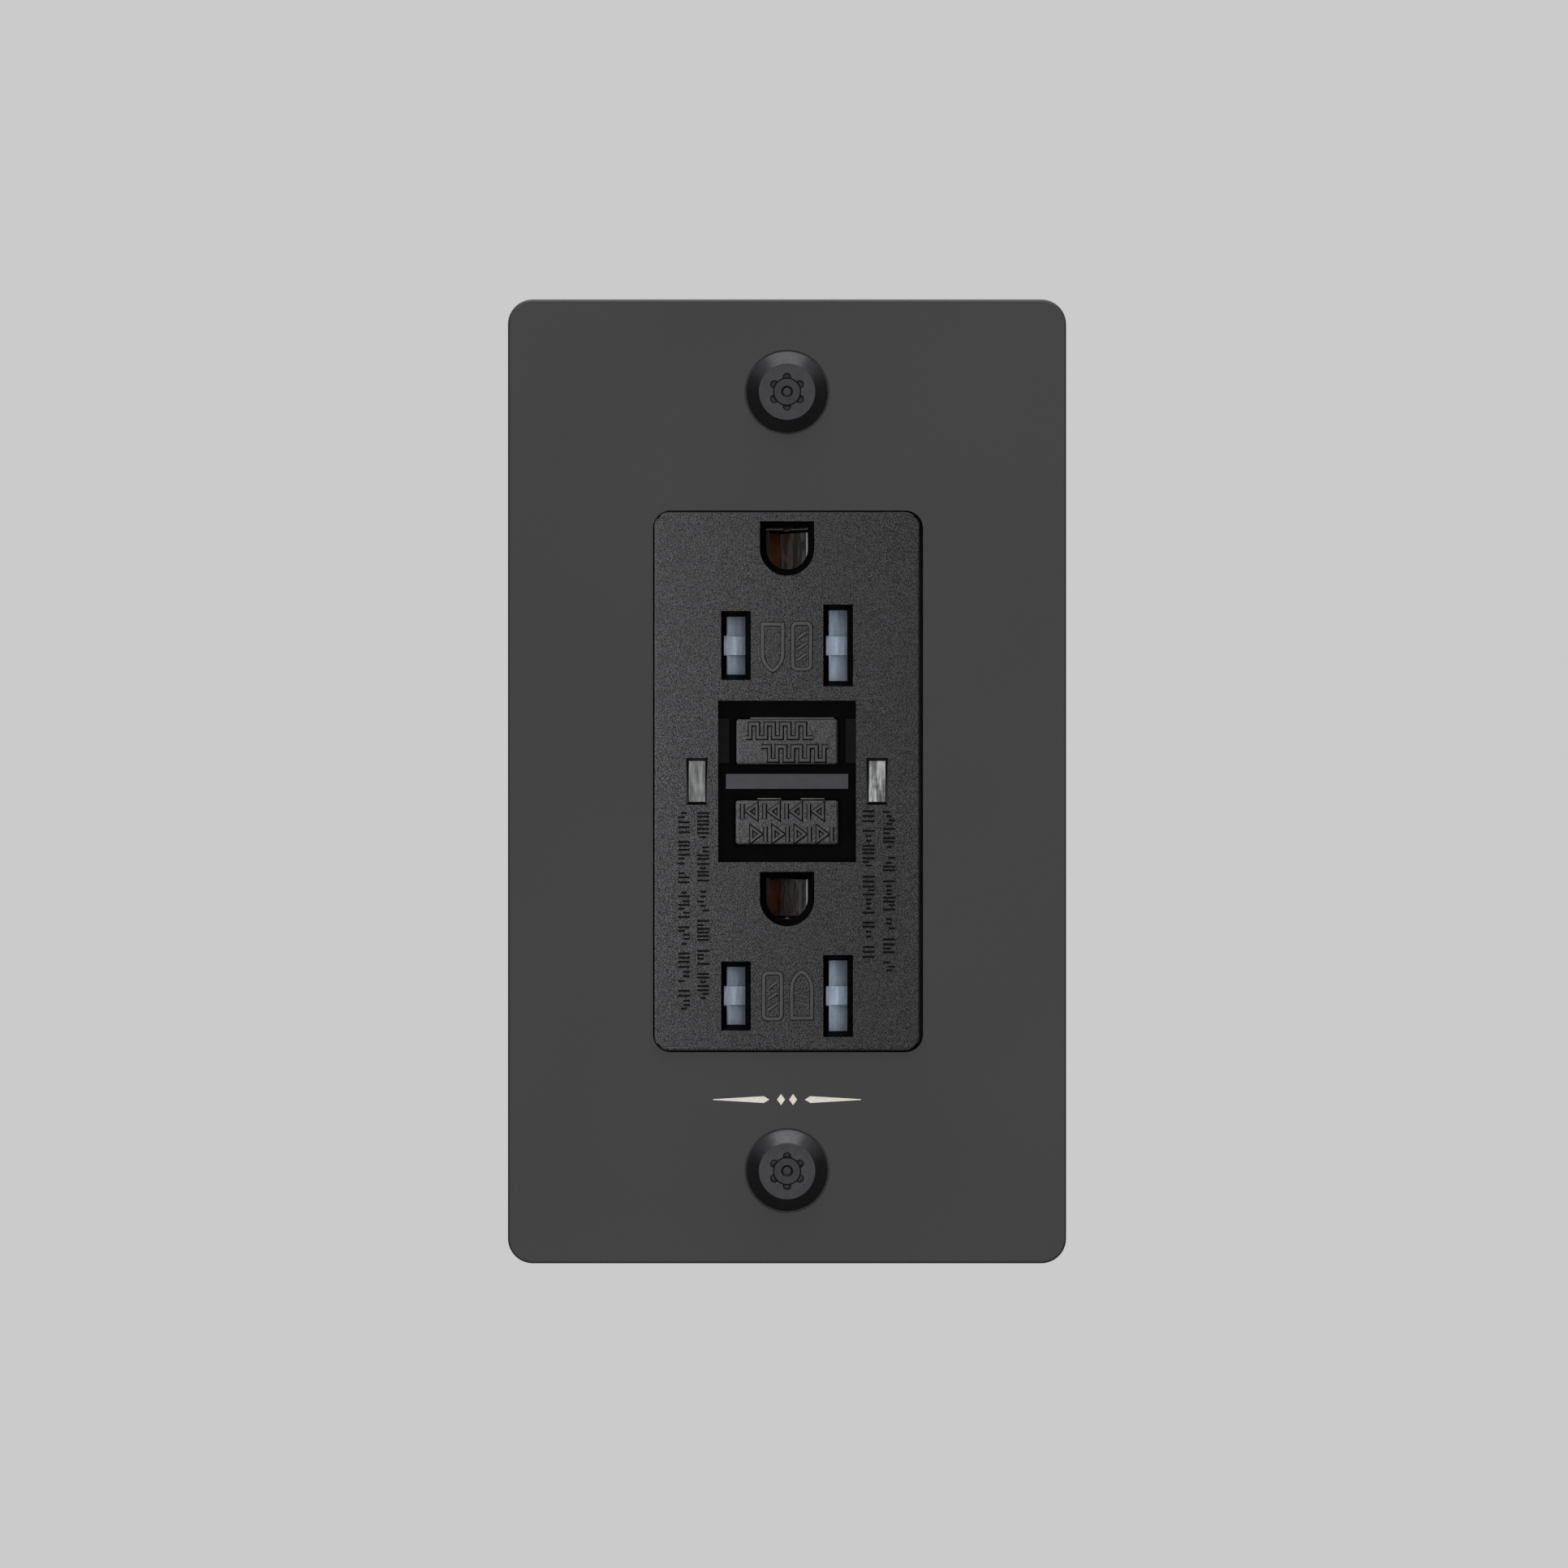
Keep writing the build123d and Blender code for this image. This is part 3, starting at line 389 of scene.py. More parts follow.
MATERIALS = {
    "plate": plate_paint(),
    "screw_black": screw_paint("screw_satin_black", (0.053, 0.053, 0.057)),
    "face_plastic": grained("face_grained_plastic", (0.0205, 0.0205, 0.022), 0.13, 0.13, 0.5, 0.95),
    "button_plastic": grained("button_grained_plastic", (0.0345, 0.0345, 0.0365), 0.13, 0.12, 0.46, 0.58),
    "lens": lens_plastic("light_guide_clear", 0.07, 0.25),
    "shutter_plastic": shutter_plastic(),
    "housing_plastic": moulded("housing_moulded_black", (0.03, 0.03, 0.032), 0.48),
    "inner_plastic": moulded("inner_moulded_grey", (0.1, 0.1, 0.105), 0.5),
    "zinc_steel": metal("zinc_plated_steel", (0.62, 0.61, 0.58), 0.34, spots=(0.5, 0.47, 0.4)),
    "spring_steel": metal("spring_wire_steel", (0.5, 0.5, 0.5), 0.25),
    "brass": metal("rolled_brass", (0.76, 0.55, 0.27), 0.28, spots=(0.5, 0.32, 0.14)),
    "silver_contact": metal("silver_contact_metal", (0.82, 0.81, 0.77), 0.22),
    "green_steel": metal("green_dyed_steel", (0.05, 0.3, 0.1), 0.32, spots=(0.02, 0.14, 0.05)),
    "copper_coil": wound("coil_enamelled_copper", (0.5, 0.16, 0.05), 2, 0.3),
    "core_wrap": wound("core_enamelled_winding", (0.45, 0.13, 0.04), 0, 0.34),
    "bobbin_nylon": moulded("bobbin_nylon", (0.66, 0.64, 0.56), 0.4),
    "board": board_laminate(),
    "varistor_epoxy": moulded("varistor_blue_epoxy", (0.02, 0.09, 0.34), 0.25, 0.8, 0.02),
    "film_case": moulded("film_capacitor_yellow", (0.6, 0.42, 0.05), 0.28),
    "can_sleeve": moulded("capacitor_sleeve", (0.02, 0.02, 0.035), 0.2),
    "component_black": moulded("component_epoxy_black", (0.022, 0.022, 0.022), 0.4, 0.2),
    "resistor_coat": moulded("resistor_lacquer", (0.5, 0.34, 0.18), 0.25),
    "lamp": moulded("indicator_lamp_body", (0.75, 0.74, 0.6), 0.2),
}
MARK = smooth_mark()
MARK_SHADE = mark_wall()
INK = cream_ink()
# Painted shade: the walls and floors of the openings are near-black, the side panels a barely lighter
# black, both with little reflection.
RECESS_SHADE_BLACK = polished("recess_polished_black", (0.0012, 0.0012, 0.0013), 0.03)
RECESS_SHADE_DIM = polished("recess_side_panel", (0.0035, 0.0035, 0.004), 0.07)
DIVIDER = divider_plastic()
RIDGE = ridge_plastic()
# Painted highlight: a light grey polished bead along the top edge of each button.
LEDGE_HIGHLIGHT = polished("ledge_polished", (0.11, 0.1, 0.078), 0.6)
GRIP_REFLECTIONS = leaf_with_painted_reflections()
# Painted shade: a darker paint inside the screw recesses and on their pins.
RECESS_SHADE_PAINT = screw_paint("screw_worn_black", (0.043, 0.043, 0.046))
# Painted shadow: a dark brown on the contact fronts, across the top of each ground window and on the
# rivet heads.
GROUND_SHADOW_PAINT = moulded("contact_edge_oxidised", (0.05, 0.025, 0.01), 0.5)
DEEP_BRASS = metal("ground_contact_brass", (0.82, 0.36, 0.1), 0.3, spots=(0.5, 0.2, 0.05))
# The right guide's painted reflection is lighter.
RIGHT_LENS = lens_plastic("light_guide_lit", 0.05, 0.52)
OWN_MATERIAL = {"light_pipe_right": RIGHT_LENS}


for node, obj in NODES.items():
    obj.data.materials.clear()
    obj.data.materials.append(OWN_MATERIAL.get(node, MATERIALS[SLOT_OF[node]]))


# ---------------------------------------------------------------- mesh helpers

SHARP_ANGLE = math.radians(32)


def piece(name, bm, body, materials, replaces=()):
    """Makes a named piece from a bmesh in millimetres and lets it ride on a body."""
    bmesh.ops.scale(bm, vec=(MM, MM, MM), verts=bm.verts)
    bmesh.ops.recalc_face_normals(bm, faces=bm.faces)
    mesh = bpy.data.meshes.new(name)
    for face in bm.faces:
        face.smooth = True
    bm.to_mesh(mesh)
    bm.free()
    if "custom_normal" in mesh.attributes:
        mesh.attributes.remove(mesh.attributes["custom_normal"])
    mesh.set_sharp_from_angle(angle=SHARP_ANGLE)
    for material in materials:
        mesh.materials.append(material)
    obj = bpy.data.objects.new(name, mesh)
    bpy.context.scene.collection.objects.link(obj)
    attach(obj, body)
    if replaces:
        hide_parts(*replaces)
    return obj


def skin(bm, rings):
    """Joins rings of as many points each into a tube with closed ends."""
    count = len(rings[0])
    for a, b in zip(rings, rings[1:]):
        for j in range(count):
            k = (j + 1) % count
            bm.faces.new((a[j], a[k], b[k], b[j]))
    bm.faces.new(rings[0])
    bm.faces.new(rings[-1])


def offset_path(points, closed, width):
    """Left and right outlines of a stroke with mitred corners, in the XZ plane."""
    left, right = [], []
    count = len(points)
    for i in range(count):
        here = Vector(points[i])
        before = Vector(points[i - 1]) if closed or i else None
        after = Vector(points[(i + 1) % count]) if closed or i < count - 1 else None
        d0 = (here - before).normalized() if before is not None else (after - here).normalized()
        d1 = (after - here).normalized() if after is not None else d0
        n0 = Vector((-d0.y, d0.x))
        n1 = Vector((-d1.y, d1.x))
        bisector = (n0 + n1).normalized()
        reach = min(width / 2 / max(bisector.dot(n0), 0.35), width)
        left.append(here + bisector * reach)
        right.append(here - bisector * reach)
    return left, right


def stroke(bm, points, width, base, height, closed=False, skirt=0.12):
    """A raised bar along a path on a front face: smooth top, and steep sides in the second material,
    which the marks paint black as shade.
    """
    points = [p for i, p in enumerate(points) if not i or math.dist(p, points[i - 1]) > 0.02]
    if not closed:
        ends = [Vector(p) for p in points]
        points = list(points)
        points[0] = ends[0] - (ends[1] - ends[0]).normalized() * width / 2
        points[-1] = ends[-1] + (ends[-1] - ends[-2]).normalized() * width / 2
    top_l, top_r = offset_path(points, closed, width)
    low_l, low_r = offset_path(points, closed, width + 2 * skirt)
    rings = []
    for tl, tr, ll, lr in zip(top_l, top_r, low_l, low_r):
        rings.append([bm.verts.new((p.x, y, p.y)) for p, y in
                      ((ll, base), (tl, base - height), (tr, base - height), (lr, base))])
    pairs = list(zip(rings, rings[1:] + rings[:1])) if closed else list(zip(rings, rings[1:]))
    for a, b in pairs:
        for k, material in ((0, 1), (1, 0), (2, 1), (3, 1)):
            face = bm.faces.new((a[k], a[(k + 1) % 4], b[(k + 1) % 4], b[k]))
            face.material_index = material
    if not closed:
        for ring in (rings[0], rings[-1]):
            bm.faces.new(ring).material_index = 1


def arc(cx, cz, r, a0, a1, steps):
    """Points on a circle from angle a0 to angle a1, in degrees."""
    angles = [math.radians(a0 + (a1 - a0) * i / steps) for i in range(steps + 1)]
    return [(cx + r * math.cos(a), cz + r * math.sin(a)) for a in angles]


def turned(points, cx, cz, flip):
    """Moves a drawing to (cx, cz), turned upside down if flip."""
    k = -1 if flip else 1
    return [(cx + k * x, cz + k * z) for x, z in points]


# ---------------------------------------------------------------- generic marks in place of the wording

MARK_SINK = 0.01
SAFETY_MARK_RISE = 0.06
BUTTON_MARK_RISE = 0.13
BUTTON_MARK_SKIRT = 0.19
TICK_RISE = 0.07


def shield():
    """Outline of a shield 2.5 wide and 5.75 high."""
    return ([(-1.25, 2.75), (1.25, 2.75), (1.25, -0.9)] + arc(-1.3, -0.9, 2.55, 0, -52, 5)
            + [(0, -3.0)] + arc(1.3, -0.9, 2.55, 232, 180, 5))


def rounded_box(w, h, r):
    """Outline of a box with rounded corners."""
    points = []
    for cx, cz, a in ((w / 2 - r, h / 2 - r, 0), (r - w / 2, h / 2 - r, 90),
                      (r - w / 2, r - h / 2, 180), (w / 2 - r, r - h / 2, 270)):
        points += arc(cx, cz, r, a, a + 90, 4)
    return points


def safety_marks():
    """A shield and a barred slot beside each pair of blade openings."""
    bm = bmesh.new()
    base = FACE_Y + MARK_SINK
    slot_outline = rounded_box(2.2, 5.7, 0.5)
    for zc, flip, shield_x, slot_x in ((16.81, False, -1.79, 1.83), (-26.7, True, 1.83, -1.79)):
        for outline, x in ((shield(), shield_x), (slot_outline, slot_x)):
            stroke(bm, turned(outline, x, zc, flip), 0.4, base, SAFETY_MARK_RISE, closed=True)
        for dz in (-1.35, 0, 1.35):
            bar = [(-0.42, dz - 0.3), (0.42, dz + 0.3)]
            stroke(bm, turned(bar, slot_x, zc, flip), 0.32, base, SAFETY_MARK_RISE)
    piece("safety_marks", bm, "base", [MARK, MARK_SHADE])


def button_stroke(bm, points, width, y, closed=False):
    stroke(bm, points, width, y, BUTTON_MARK_RISE, closed, BUTTON_MARK_SKIRT)


def pulse_row(bm, cx, cz, flip, y):
    """A square pulse line of four pulses."""
    half, rise, first, pitch, width = 4.0, 0.85, 0.35, 1.95, 0.95
    points = [(-half, -rise)]
    for i in range(4):
        x = -half + first + i * pitch
        points += [(x, -rise), (x, rise), (x + width, rise), (x + width, -rise)]
    points.append((half, -rise))
    button_stroke(bm, turned(points, cx, cz, flip), 0.3, y)


def rewind_row(bm, cx, cz, flip, y):
    """Four return symbols, each a bar and a triangle."""
    first, pitch, width = -4.95, 2.75, 0.28
    for i in range(4):
        x = first + i * pitch
        bar = [(x, -0.8), (x, 0.8)]
        triangle = [(x + 0.62, 0), (x + 1.75, 0.84), (x + 1.75, -0.84)]
        button_stroke(bm, turned(bar, cx, cz, flip), width, y)
        button_stroke(bm, turned(triangle, cx, cz, flip), width, y, closed=True)


def button_marks():
    """One upright row of marks on each button and, below it, the same row turned round."""
    for node, body, row, dx in (("test_button", "test", pulse_row, 0.95),
                                ("reset_button", "reset", rewind_row, 0.6)):
        low, high = corner(node, 0), corner(node, 1)
        middle = (low.z + high.z) / 2
        bm = bmesh.new()
        row(bm, -dx, middle + 1.36, False, low.y + MARK_SINK)
        row(bm, dx, middle - 1.46, True, low.y + MARK_SINK)
        piece(node + "_marks", bm, body, [MARK, MARK_SHADE])


def side_marks():
    """Columns of short raised ticks where the small wording runs down the face, all painted black as
    shade.
    """
    x_top_bottom_width = ((-12.84, -3.84, -28.97, 1.42), (-10.45, -3.84, -27.96, 1.47),
                          (10.13, -3.6, -22.5, 1.47), (12.68, -3.7, -24.1, 1.47))
    gap_between_words = 0.75
    bm = bmesh.new()
    for x, top, bottom, width in x_top_bottom_width:
        z = top - 0.1
        run = DICE.randint(3, 9)
        while z > bottom + 0.2:
            kind = DICE.random()
            reach = width / 2 - 0.08
            if kind < 0.55:
                ends = [(x - reach, z), (x + reach, z)]
            elif kind < 0.8:
                side = DICE.choice((-1, 1))
                ends = [(x + side * reach, z), (x, z)]
            else:
                ends = [(x - reach * 0.4, z), (x + reach * 0.4, z)]
            stroke(bm, ends, 0.15, FACE_Y + MARK_SINK, TICK_RISE, skirt=0.06)
            z -= DICE.choice((0.46, 0.52, 0.62))
            run -= 1
            if run == 0:
                z -= gap_between_words
                run = DICE.randint(3, 9)
    piece("side_marks", bm, "base", [MARK_SHADE, MARK_SHADE])


def plate_ornament():
    """A plain printed line ornament below the outlet."""
    bm = bmesh.new()
    middle_z = -39.6
    ink_y = PLATE_Y - 0.012
    for k in (-1, 1):
        bar = [(k * 2.2, 0.0), (k * 2.9, 0.42), (k * 9.2, 0.05), (k * 9.2, -0.05), (k * 2.9, -0.42)]
        diamond = [(k * 0.75 + px, pz) for px, pz in ((-0.5, 0), (0, 0.7), (0.5, 0), (0, -0.7))]
        for outline in (bar, diamond):
            bm.faces.new([bm.verts.new((px, ink_y, middle_z + pz)) for px, pz in outline])
    piece("plate_ornament", bm, "base", [INK])


# ---------------------------------------------------------------- finishes face by face

def finished(node, pick, materials):
    """A CAD node's own shape with a finish chosen face by face."""
    mesh = NODES[node].data.copy()
    mesh.name = node + "_finished"
    mesh.materials.clear()
    for material in materials:
        mesh.materials.append(material)
    for face in mesh.polygons:
        face.material_index = pick(face.center / MM, face.normal)
    obj = bpy.data.objects.new(node + "_finished", mesh)
    bpy.context.scene.collection.objects.link(obj)
    bodies = frame["record"]["behaviour"]["bodies"]
    body = next(name for name, members in bodies.items() if node in members)
    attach(obj, body)
    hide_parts(node)


def cover_finish(c, n):
    """0 grained, 1 recess painted black as shade, 2 divider bar, 3 side panel painted dark as shade, 4
    flange behind the plate.
    """
    flange_y = -0.25
    front = n.y < -0.93
    outer = abs(c.x) > 16.1 or abs(c.z) > 33.1
    if c.y > flange_y:
        return 4
    if (front and c.y < FACE_Y + 0.05) or (outer and c.y < FACE_Y + 0.45):
        return 0
    if abs(c.z) < 0.95 and front and c.y < FACE_Y + 0.8:
        return 2
    if front and abs(c.x) > 7.1 and 2.2 < c.z < 7.9 and c.y < FACE_Y + 2.0:
        return 3
    return 1


def strap_finish(c, n):
    """1 is the grip behind each ground opening, with painted reflections."""
    middle_z, half_spacing = 7.15, 21.8
    from_grip = abs(abs(c.z - middle_z) - half_spacing)
    return int(abs(c.x) < 2.7 and c.y > 4.65 and from_grip < 2.4)


def contact_finish(c, n):
    """1 is the front and the edge across the top of each window, painted dark as shadow."""
    return int(c.y < 6.0 and (n.z < -0.9 or n.y < -0.9))


def rivet_finish(c, n):
    """1 is the head towards the room, in the same dark brown as the painted shadow."""
    return int(c.y < 5)


def cap_finish(c, n):
    """0 is the grained front with its rounded edge, 1 the sides in the well, painted black as shade."""
    return 0 if c.y < FACE_Y + 0.7 and n.y < -0.1 else 1


finished("front_cover", cover_finish,
         [MATERIALS["face_plastic"], RECESS_SHADE_BLACK, DIVIDER, RECESS_SHADE_DIM, MATERIALS["housing_plastic"]])
finished("mounting_strap", strap_finish, [MATERIALS["zinc_steel"], GRIP_REFLECTIONS])
for contact in ("ground_contact_upper", "ground_contact_lower"):
    finished(contact, contact_finish, [DEEP_BRASS, GROUND_SHADOW_PAINT])
finished("ground_rivets", rivet_finish, [MATERIALS[SLOT_OF["ground_rivets"]], GROUND_SHADOW_PAINT])
for cap in ("test_button", "reset_button"):
    finished(cap, cap_finish, [MATERIALS["button_plastic"], RECESS_SHADE_BLACK])


# ---------------------------------------------------------------- small details on the front

def bead(bm, start, end, r):
    """A thin round-ended rod between two points."""
    a, b = Vector(start), Vector(end)
    axis = (b - a).normalized()
    u = axis.orthogonal().normalized()
    v = axis.cross(u)
    profile = [(0.0, 0.25), (0.35, 0.75), (1.0, 1.0)]
    stops = [(a + axis * (k * r), r * w) for k, w in profile]
    stops += [(b - axis * (k * r), r * w) for k, w in reversed(profile)]
    sides = 10
    turns = [2 * math.pi * j / sides for j in range(sides)]
    rings = [[bm.verts.new(centre + (u * math.cos(t) + v * math.sin(t)) * radius) for t in turns]
             for centre, radius in stops]
    skin(bm, rings)


def shutter_ridges():
    """The moulded ridge along the high side of each shutter ramp."""
    ridge_r = 0.07
    for label in ("upper", "lower"):
        node = "shutter_" + label
        low, high = corner(node, 0), corner(node, 1)
        middle = (low.z + high.z) / 2
        bm = bmesh.new()
        for x in (-BLADE_SPACING / 2, BLADE_SPACING / 2):
            for dx, y, z0, z1 in ((-1.02, low.y, -4.6, -1.2), (-1.02, low.y, 1.2, 4.6),
                                  (-1.6, low.y + 0.02, -1.1, 1.1)):
                bead(bm, (x + dx, y, middle + z0), (x + dx, y, middle + z1), ridge_r)
        piece(node + "_ridges", bm, label + "_shutter", [RIDGE])


LEDGE_Y = -4.9
LEDGE_RISE = 2.93
LEDGE_R = 0.1


def cap_highlight_ledges():
    """Ledges just outside the upper side of each button cap, painted light as a highlight."""
    for node, body, runs in (("test_button", "test", ((-4.6, 5.9),)),
                             ("reset_button", "reset", ((-3.7, -0.7), (1.7, 4.7)))):
        z = (corner(node, 0).z + corner(node, 1).z) / 2 + LEDGE_RISE
        bm = bmesh.new()
        for x0, x1 in runs:
            bead(bm, (x0, LEDGE_Y, z), (x1, LEDGE_Y, z), LEDGE_R)
        piece(node + "_ledge", bm, body, [LEDGE_HIGHLIGHT])


# The painted-shade edges end level with the CAD head, so the visible head is set a little lower between
# them.
RECESS_EDGE_RISE = 0.007
HEAD_DROP = 0.004


def lobe(degrees):
    """Outline of one lobe of the screw recess, pointing along an angle."""
    post_r, centre_r, half = 1.72, 1.825, 0.475
    points = [(post_r, -half)] + arc(centre_r, 0, half, -90, 90, 8) + [(post_r, half)]
    cos, sin = math.cos(math.radians(degrees)), math.sin(math.radians(degrees))
    return [(cos * x - sin * z, sin * x + cos * z) for x, z in points]


def dome(bm, z, r, base, height):
    """A low rounded pin end that stands towards the room."""
    rings, sides = 5, 28
    turns = [2 * math.pi * j / sides for j in range(sides)]
    previous = None
    for i in range(rings):
        t = i / rings * math.pi / 2
        out = r * math.cos(t)
        y = base - height * math.sin(t)
        ring = [bm.verts.new((out * math.cos(a), y, z + out * math.sin(a))) for a in turns]
        if previous:
            for j in range(sides):
                k = (j + 1) % sides
                bm.faces.new((previous[j], previous[k], ring[k], ring[j]))
        else:
            bm.faces.new(ring)
        previous = ring
    top = bm.verts.new((0, base - height, z))
    for j in range(sides):
        bm.faces.new((previous[j], previous[(j + 1) % sides], top))


def recess_edges():
    """Edge round each screw's recess painted black as shade, and the pin in its middle in the darker
    recess paint.
    """
    edges, pins = bmesh.new(), bmesh.new()
    base = SCREW_Y + RECESS_EDGE_RISE
    for z in (PLATE_SCREW_Z, -PLATE_SCREW_Z):
        for i in range(6):
            outline = [(px, z + pz) for px, pz in lobe(90 + 60 * i)]
            stroke(edges, outline, 0.07, base, RECESS_EDGE_RISE, skirt=0.03)
        post = arc(0, z, 1.68, 0, 352, 44)
        stroke(edges, post, 0.12, base, RECESS_EDGE_RISE, closed=True, skirt=0.03)
        dome(pins, z, 0.6, SCREW_Y + 0.32, 0.16)
    piece("screw_recess_edges", edges, "base", [MARK_SHADE, MARK_SHADE])
    piece("screw_pins", pins, "base", [RECESS_SHADE_PAINT])


recess_edges()
safety_marks()
shutter_ridges()
cap_highlight_ledges()
button_marks()
side_marks()
plate_ornament()


# ---------------------------------------------------------------- screws with real threads

THREAD_MAJOR_R = 1.75
THREAD_MINOR_R = 1.35
THREAD_PITCH = 0.794


def thread(bm, z, start, end):
    """Triangular thread as one closed skin along y, in the middle of x."""
    steps, rings_per_turn, tip_taper = 40, 10, 0.25
    count = int((end - start) / THREAD_PITCH * rings_per_turn)
    rings = []
    for i in range(count + 1):
        along = start + (end - start) * i / count
        tip = min(1, (end - along) / THREAD_PITCH)
        ring = []
        for j in range(steps):
            angle = 2 * math.pi * j / steps
            phase = (along / THREAD_PITCH - j / steps) % 1
            tooth = 1 - abs(2 * phase - 1)
            tooth = min(max((tooth - 0.08) / 0.8, 0), 1)
            r = THREAD_MINOR_R + (THREAD_MAJOR_R - THREAD_MINOR_R) * tooth * tip - tip_taper * (1 - tip)
            ring.append(bm.verts.new((r * math.cos(angle), along, z + r * math.sin(angle))))
        rings.append(ring)
    skin(bm, rings)


def recess_finish(c):
    """1 is the darker paint on the post and inside the recess of a plate screw, painted as shade."""
    r = math.hypot(c.x, abs(c.z) - PLATE_SCREW_Z)
    return int(r < 1.6 or (r < 2.5 and c.y > SCREW_Y + 0.2))


def threaded(node, cut, start, end, z, pick=None, recess_shade=()):
    """Keeps two CAD screws' heads and gives them threaded shanks beyond the cut."""
    bm = bmesh.new()
    bm.from_mesh(NODES[node].data)
    bmesh.ops.scale(bm, vec=(1 / MM, 1 / MM, 1 / MM), verts=bm.verts)
    bmesh.ops.remove_doubles(bm, verts=bm.verts, dist=0.0005)
    found = bm.verts[:] + bm.edges[:] + bm.faces[:]
    bmesh.ops.bisect_plane(bm, geom=found, plane_co=(0, cut, 0), plane_no=(0, 1, 0), clear_outer=True)
    for side in (z, -z):
        thread(bm, side, start, end)
    slot = SLOT_OF[node]
    if pick:
        for v in bm.verts:
            v.co.y = max(v.co.y, SCREW_Y + HEAD_DROP)
        for face in bm.faces:
            face.material_index = pick(face.calc_center_median())
    piece(node + "_threaded", bm, "base", [MATERIALS[slot], *recess_shade], replaces=[node])


threaded("plate_screws", cut=-4.9, start=-5.3, end=corner("plate_screws", 1).y, z=PLATE_SCREW_Z,
         pick=recess_finish, recess_shade=[RECESS_SHADE_PAINT])
threaded("box_screws", cut=-0.2, start=-0.3, end=corner("box_screws", 1).y, z=BOX_SCREW_Z)


# ---------------------------------------------------------------- springs

def spring(name, start, direction, length, coil_r, wire_r):
    """A wound wire spring of five open turns with a closed turn at each end."""
    bm = bmesh.new()
    axis = Vector(direction)
    side = Vector((0, 0, 1))
    other = axis.cross(side)
    turns, steps, wire_sides = 5, 20, 8
    wire_angles = [2 * math.pi * j / wire_sides for j in range(wire_sides)]
    inner = length - 2 * wire_r
    rings = []
    for i in range((turns + 2) * steps + 1):
        turn = i / steps
        lift = min(max((turn - 1) / turns, 0), 1) * (inner - 4 * wire_r) + 2 * wire_r * min(turn, 1)
        lift += 2 * wire_r * max(turn - turns - 1, 0)
        angle = 2 * math.pi * turn
        radial = side * math.cos(angle) + other * math.sin(angle)
        centre = Vector(start) + axis * (wire_r + min(lift, inner)) + radial * coil_r
        rings.append([bm.verts.new(centre + (radial * math.cos(a) + axis * math.sin(a)) * wire_r)
                      for a in wire_angles])
    skin(bm, rings)
    obj = piece(name + "_wound", bm, "base", [MATERIALS["spring_steel"]], replaces=[name])
    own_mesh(obj)


def button_springs():
    """One behind each button."""
    for name, joint, travel in (("test_spring", "test_press", 1.5), ("reset_spring", "reset_press", 2.3)):
        low, high = corner(name, 0), corner(name, 1)
        length = high.y - low.y
        middle = (low.z + high.z) / 2
        spring(name, (0, low.y, middle), (0, 1, 0), length, 1.95, 0.2)


def shutter_springs():
    """One to the left of each shutter."""
    travel, y = 3.0, -3.0
    for name, joint in (("shutter_spring_upper", "upper_shutter_slide"),
                        ("shutter_spring_lower", "lower_shutter_slide")):
        low, high = corner(name, 0), corner(name, 1)
        length = high.x - low.x
        middle = (low.z + high.z) / 2
        spring(name, (low.x, y, middle), (1, 0, 0), length, 1.0, 0.16)


button_springs()
shutter_springs()


# ---------------------------------------------------------------- studio

def studio_world():
    """Soft light from the front, above and behind; the camera sees an even grey."""
    world = bpy.data.worlds.new("studio")
    bpy.context.scene.world = world
    world.use_nodes = True
    tree = world.node_tree
    backdrop = (0.597, 0.597, 0.597, 1)
    coords = tree.nodes.new("ShaderNodeTexCoord")
    split = tree.nodes.new("ShaderNodeSeparateXYZ")
    tree.links.new(coords.outputs["Generated"], split.inputs[0])

    def span(value, low, high, a, b):
        node = tree.nodes.new("ShaderNodeMapRange")
        node.interpolation_type = "SMOOTHSTEP"
        tree.links.new(value, node.inputs[0])
        for k, number in enumerate((low, high, a, b)):
            node.inputs[k + 1].default_value = number
        return node.outputs[0]

    def add(a, b):
        node = tree.nodes.new("ShaderNodeMath")
        tree.links.new(a, node.inputs[0])
        tree.links.new(b, node.inputs[1])
        return node.outputs[0]

    front = span(split.outputs[1], -0.3, -0.97, 0.085, 1.0)
    top = span(split.outputs[2], 0.2, 0.95, 0.0, 0.85)
    back = span(split.outputs[1], 0.3, 0.9, 0.0, 0.6)
    light = add(add(front, top), back)
    paths = tree.nodes.new("ShaderNodeLightPath")
    mix = tree.nodes.new("ShaderNodeMix")
    mix.data_type = "RGBA"
    tree.links.new(paths.outputs["Is Camera Ray"], mix.inputs[0])
    tree.links.new(light, mix.inputs[6])
    mix.inputs[7].default_value = backdrop
    tree.links.new(mix.outputs[2], tree.nodes["Background"].inputs["Color"])


def area_light(name, place, target, size, power):
    data = bpy.data.lights.new(name, "AREA")
    data.shape = "RECTANGLE"
    data.size, data.size_y = size
    data.energy = power
    obj = bpy.data.objects.new(name, data)
    bpy.context.scene.collection.objects.link(obj)
    obj.location = place
    obj.rotation_euler = (Vector(target) - Vector(place)).to_track_quat("-Z", "Y").to_euler()
    obj.visible_camera = False
    return obj


FACE_PIECES = ("front_cover_finished", "test_button", "reset_button",
               "safety_marks", "side_marks", "shutter_")
BODY_MIDDLE = (0, 0.015, 0)


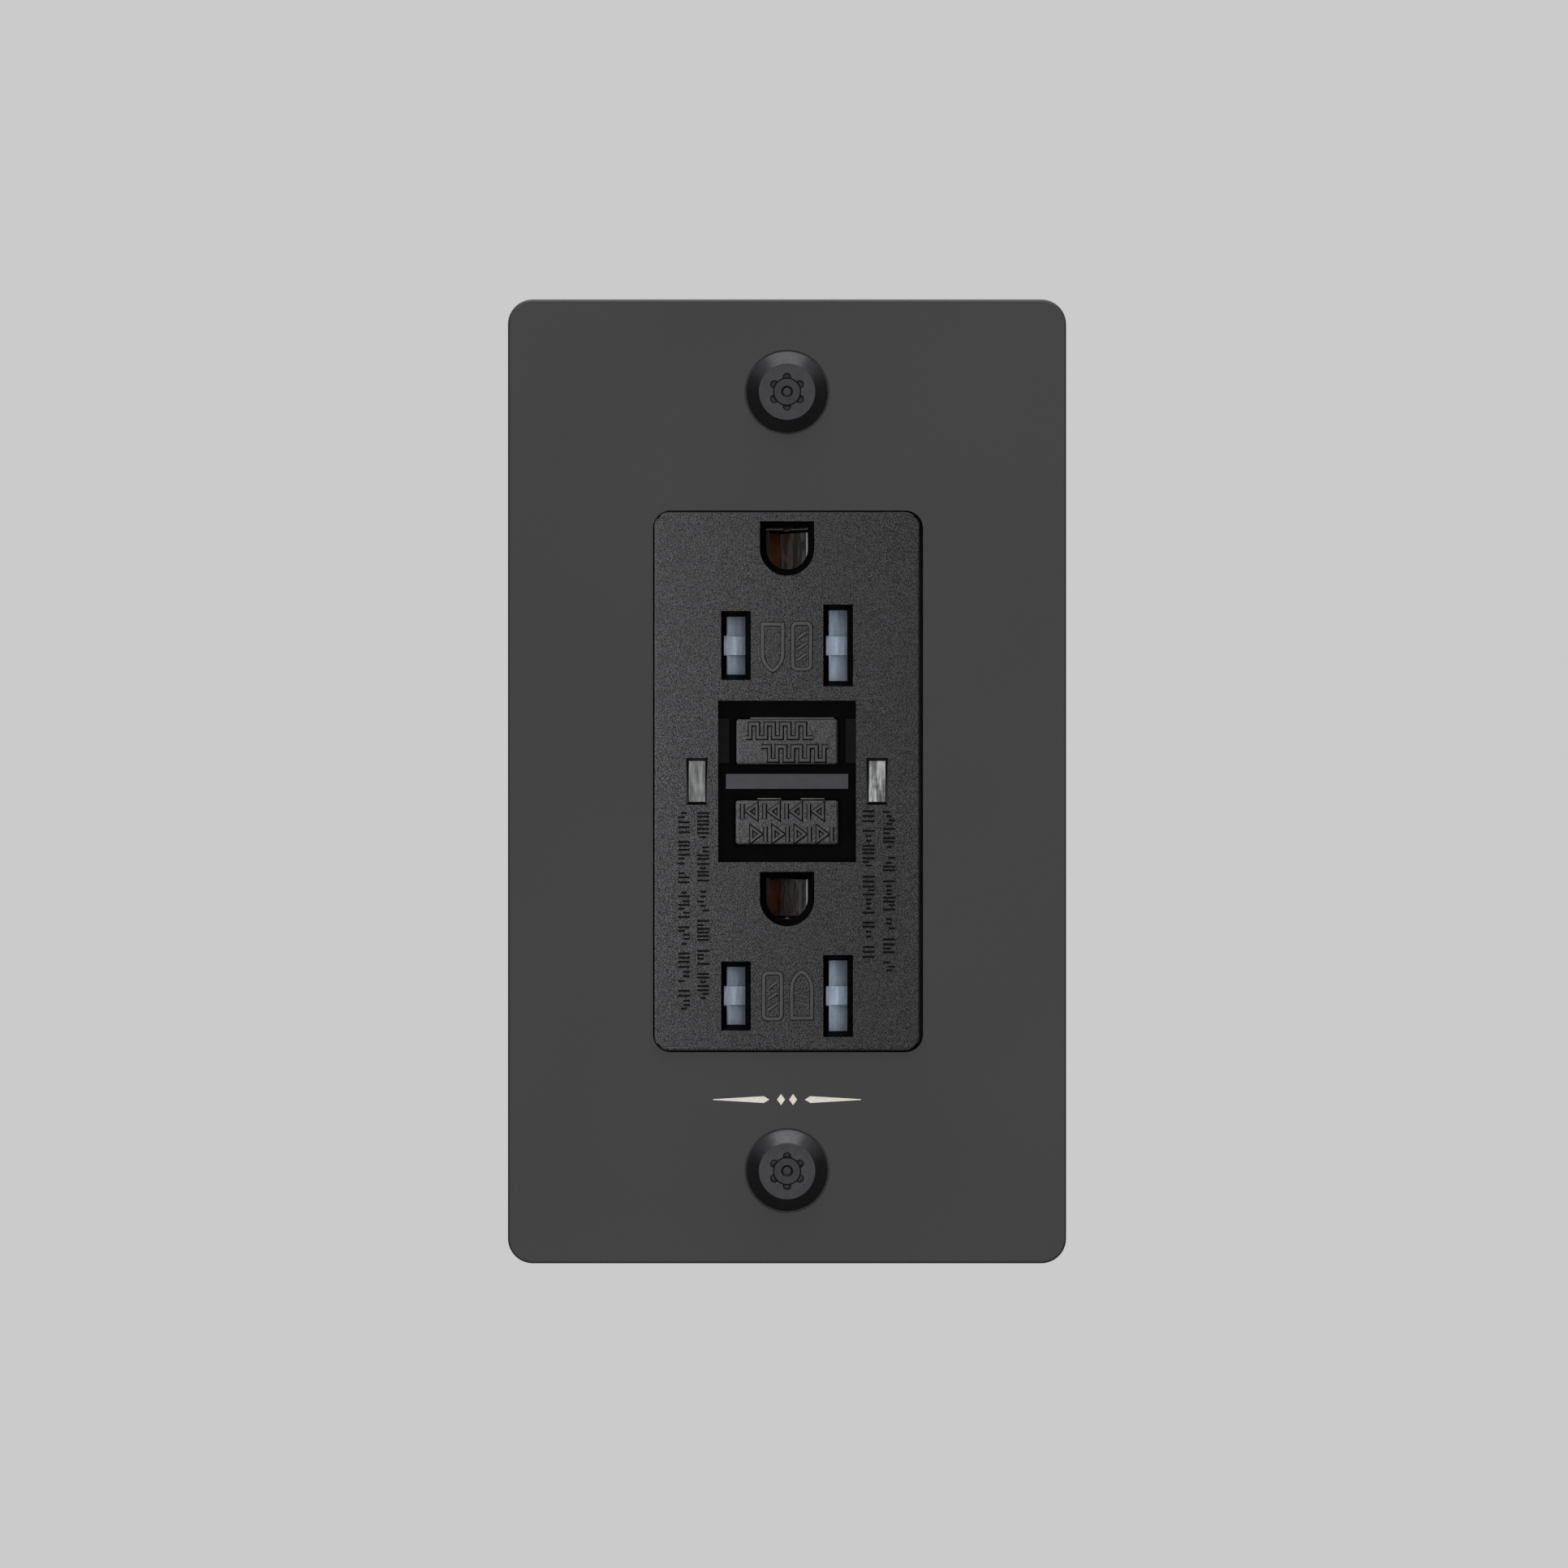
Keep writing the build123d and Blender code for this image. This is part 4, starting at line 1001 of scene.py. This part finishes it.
def shine_on(lights, name, wanted):
    """Lets some lights reach only the pieces whose names are wanted."""
    receivers = bpy.data.collections.new(name)
    for obj in bpy.context.scene.objects:
        if obj.type == "MESH" and wanted(obj.name):
            receivers.objects.link(obj)
    for light in lights:
        light.light_linking.receiver_collection = receivers


def floor():
    """A plain pale floor, in metres, well below the outlet."""
    radius, drop = 2.4, 0.35
    grey = (0.25, 0.25, 0.25)
    bm = bmesh.new()
    bmesh.ops.create_circle(bm, cap_ends=True, segments=96, radius=radius)
    mesh = bpy.data.meshes.new("floor")
    bm.to_mesh(mesh)
    bm.free()
    obj = bpy.data.objects.new("floor", mesh)
    bpy.context.scene.collection.objects.link(obj)
    obj.location = (0, 0, -drop)
    s = Surface("floor_pale", grey, 0.9, Emission_Strength=0.39)
    s.shader.inputs["Emission Color"].default_value = (1, 1, 1, 1)
    mottled(s, grey, 120, 0.03)
    mesh.materials.append(s.mat)
    obj.visible_glossy = False
    obj.visible_diffuse = False


def camera():
    """Square-on, one metre in front of the plate, which it sees 195.13 mm wide."""
    data = bpy.data.cameras.new("camera")
    data.sensor_width = 36
    frame_width = 195.13 * MM
    distance = 1.0
    data.lens = data.sensor_width * distance / frame_width
    data.clip_start = 0.01
    data.clip_end = 20
    obj = bpy.data.objects.new("camera", data)
    bpy.context.scene.collection.objects.link(obj)
    obj.location = (-0.379 * MM, PLATE_Y * MM - distance, -0.328 * MM)
    obj.rotation_euler = (math.radians(90), 0, 0)
    bpy.context.scene.camera = obj


studio_world()
# Places and sizes of the lights are in metres, their powers in watts.
area_light("top_softbox", (0, -0.25, 0.9), (0, 0, 0), (0.9, 0.5), 4.4)
strip = area_light("left_strip", (-0.047, -0.036, 0.004), (0, PLATE_Y * MM, 0), (0.008, 0.12), 0.066)
shine_on([strip], "face_pieces", lambda name: name.startswith(FACE_PIECES))
sides = [area_light("right_softbox", (0.7, 0.45, 0.4), BODY_MIDDLE, (0.5, 0.5), 10),
         area_light("left_softbox", (-0.7, 0.45, 0.4), BODY_MIDDLE, (0.5, 0.5), 10)]
for light in sides:
    light.visible_glossy = False
# The floor is made after this, so the side lights leave it alone.
shine_on(sides, "all_pieces", lambda name: True)
floor()
camera()
bpy.context.scene.view_settings.view_transform = "Standard"
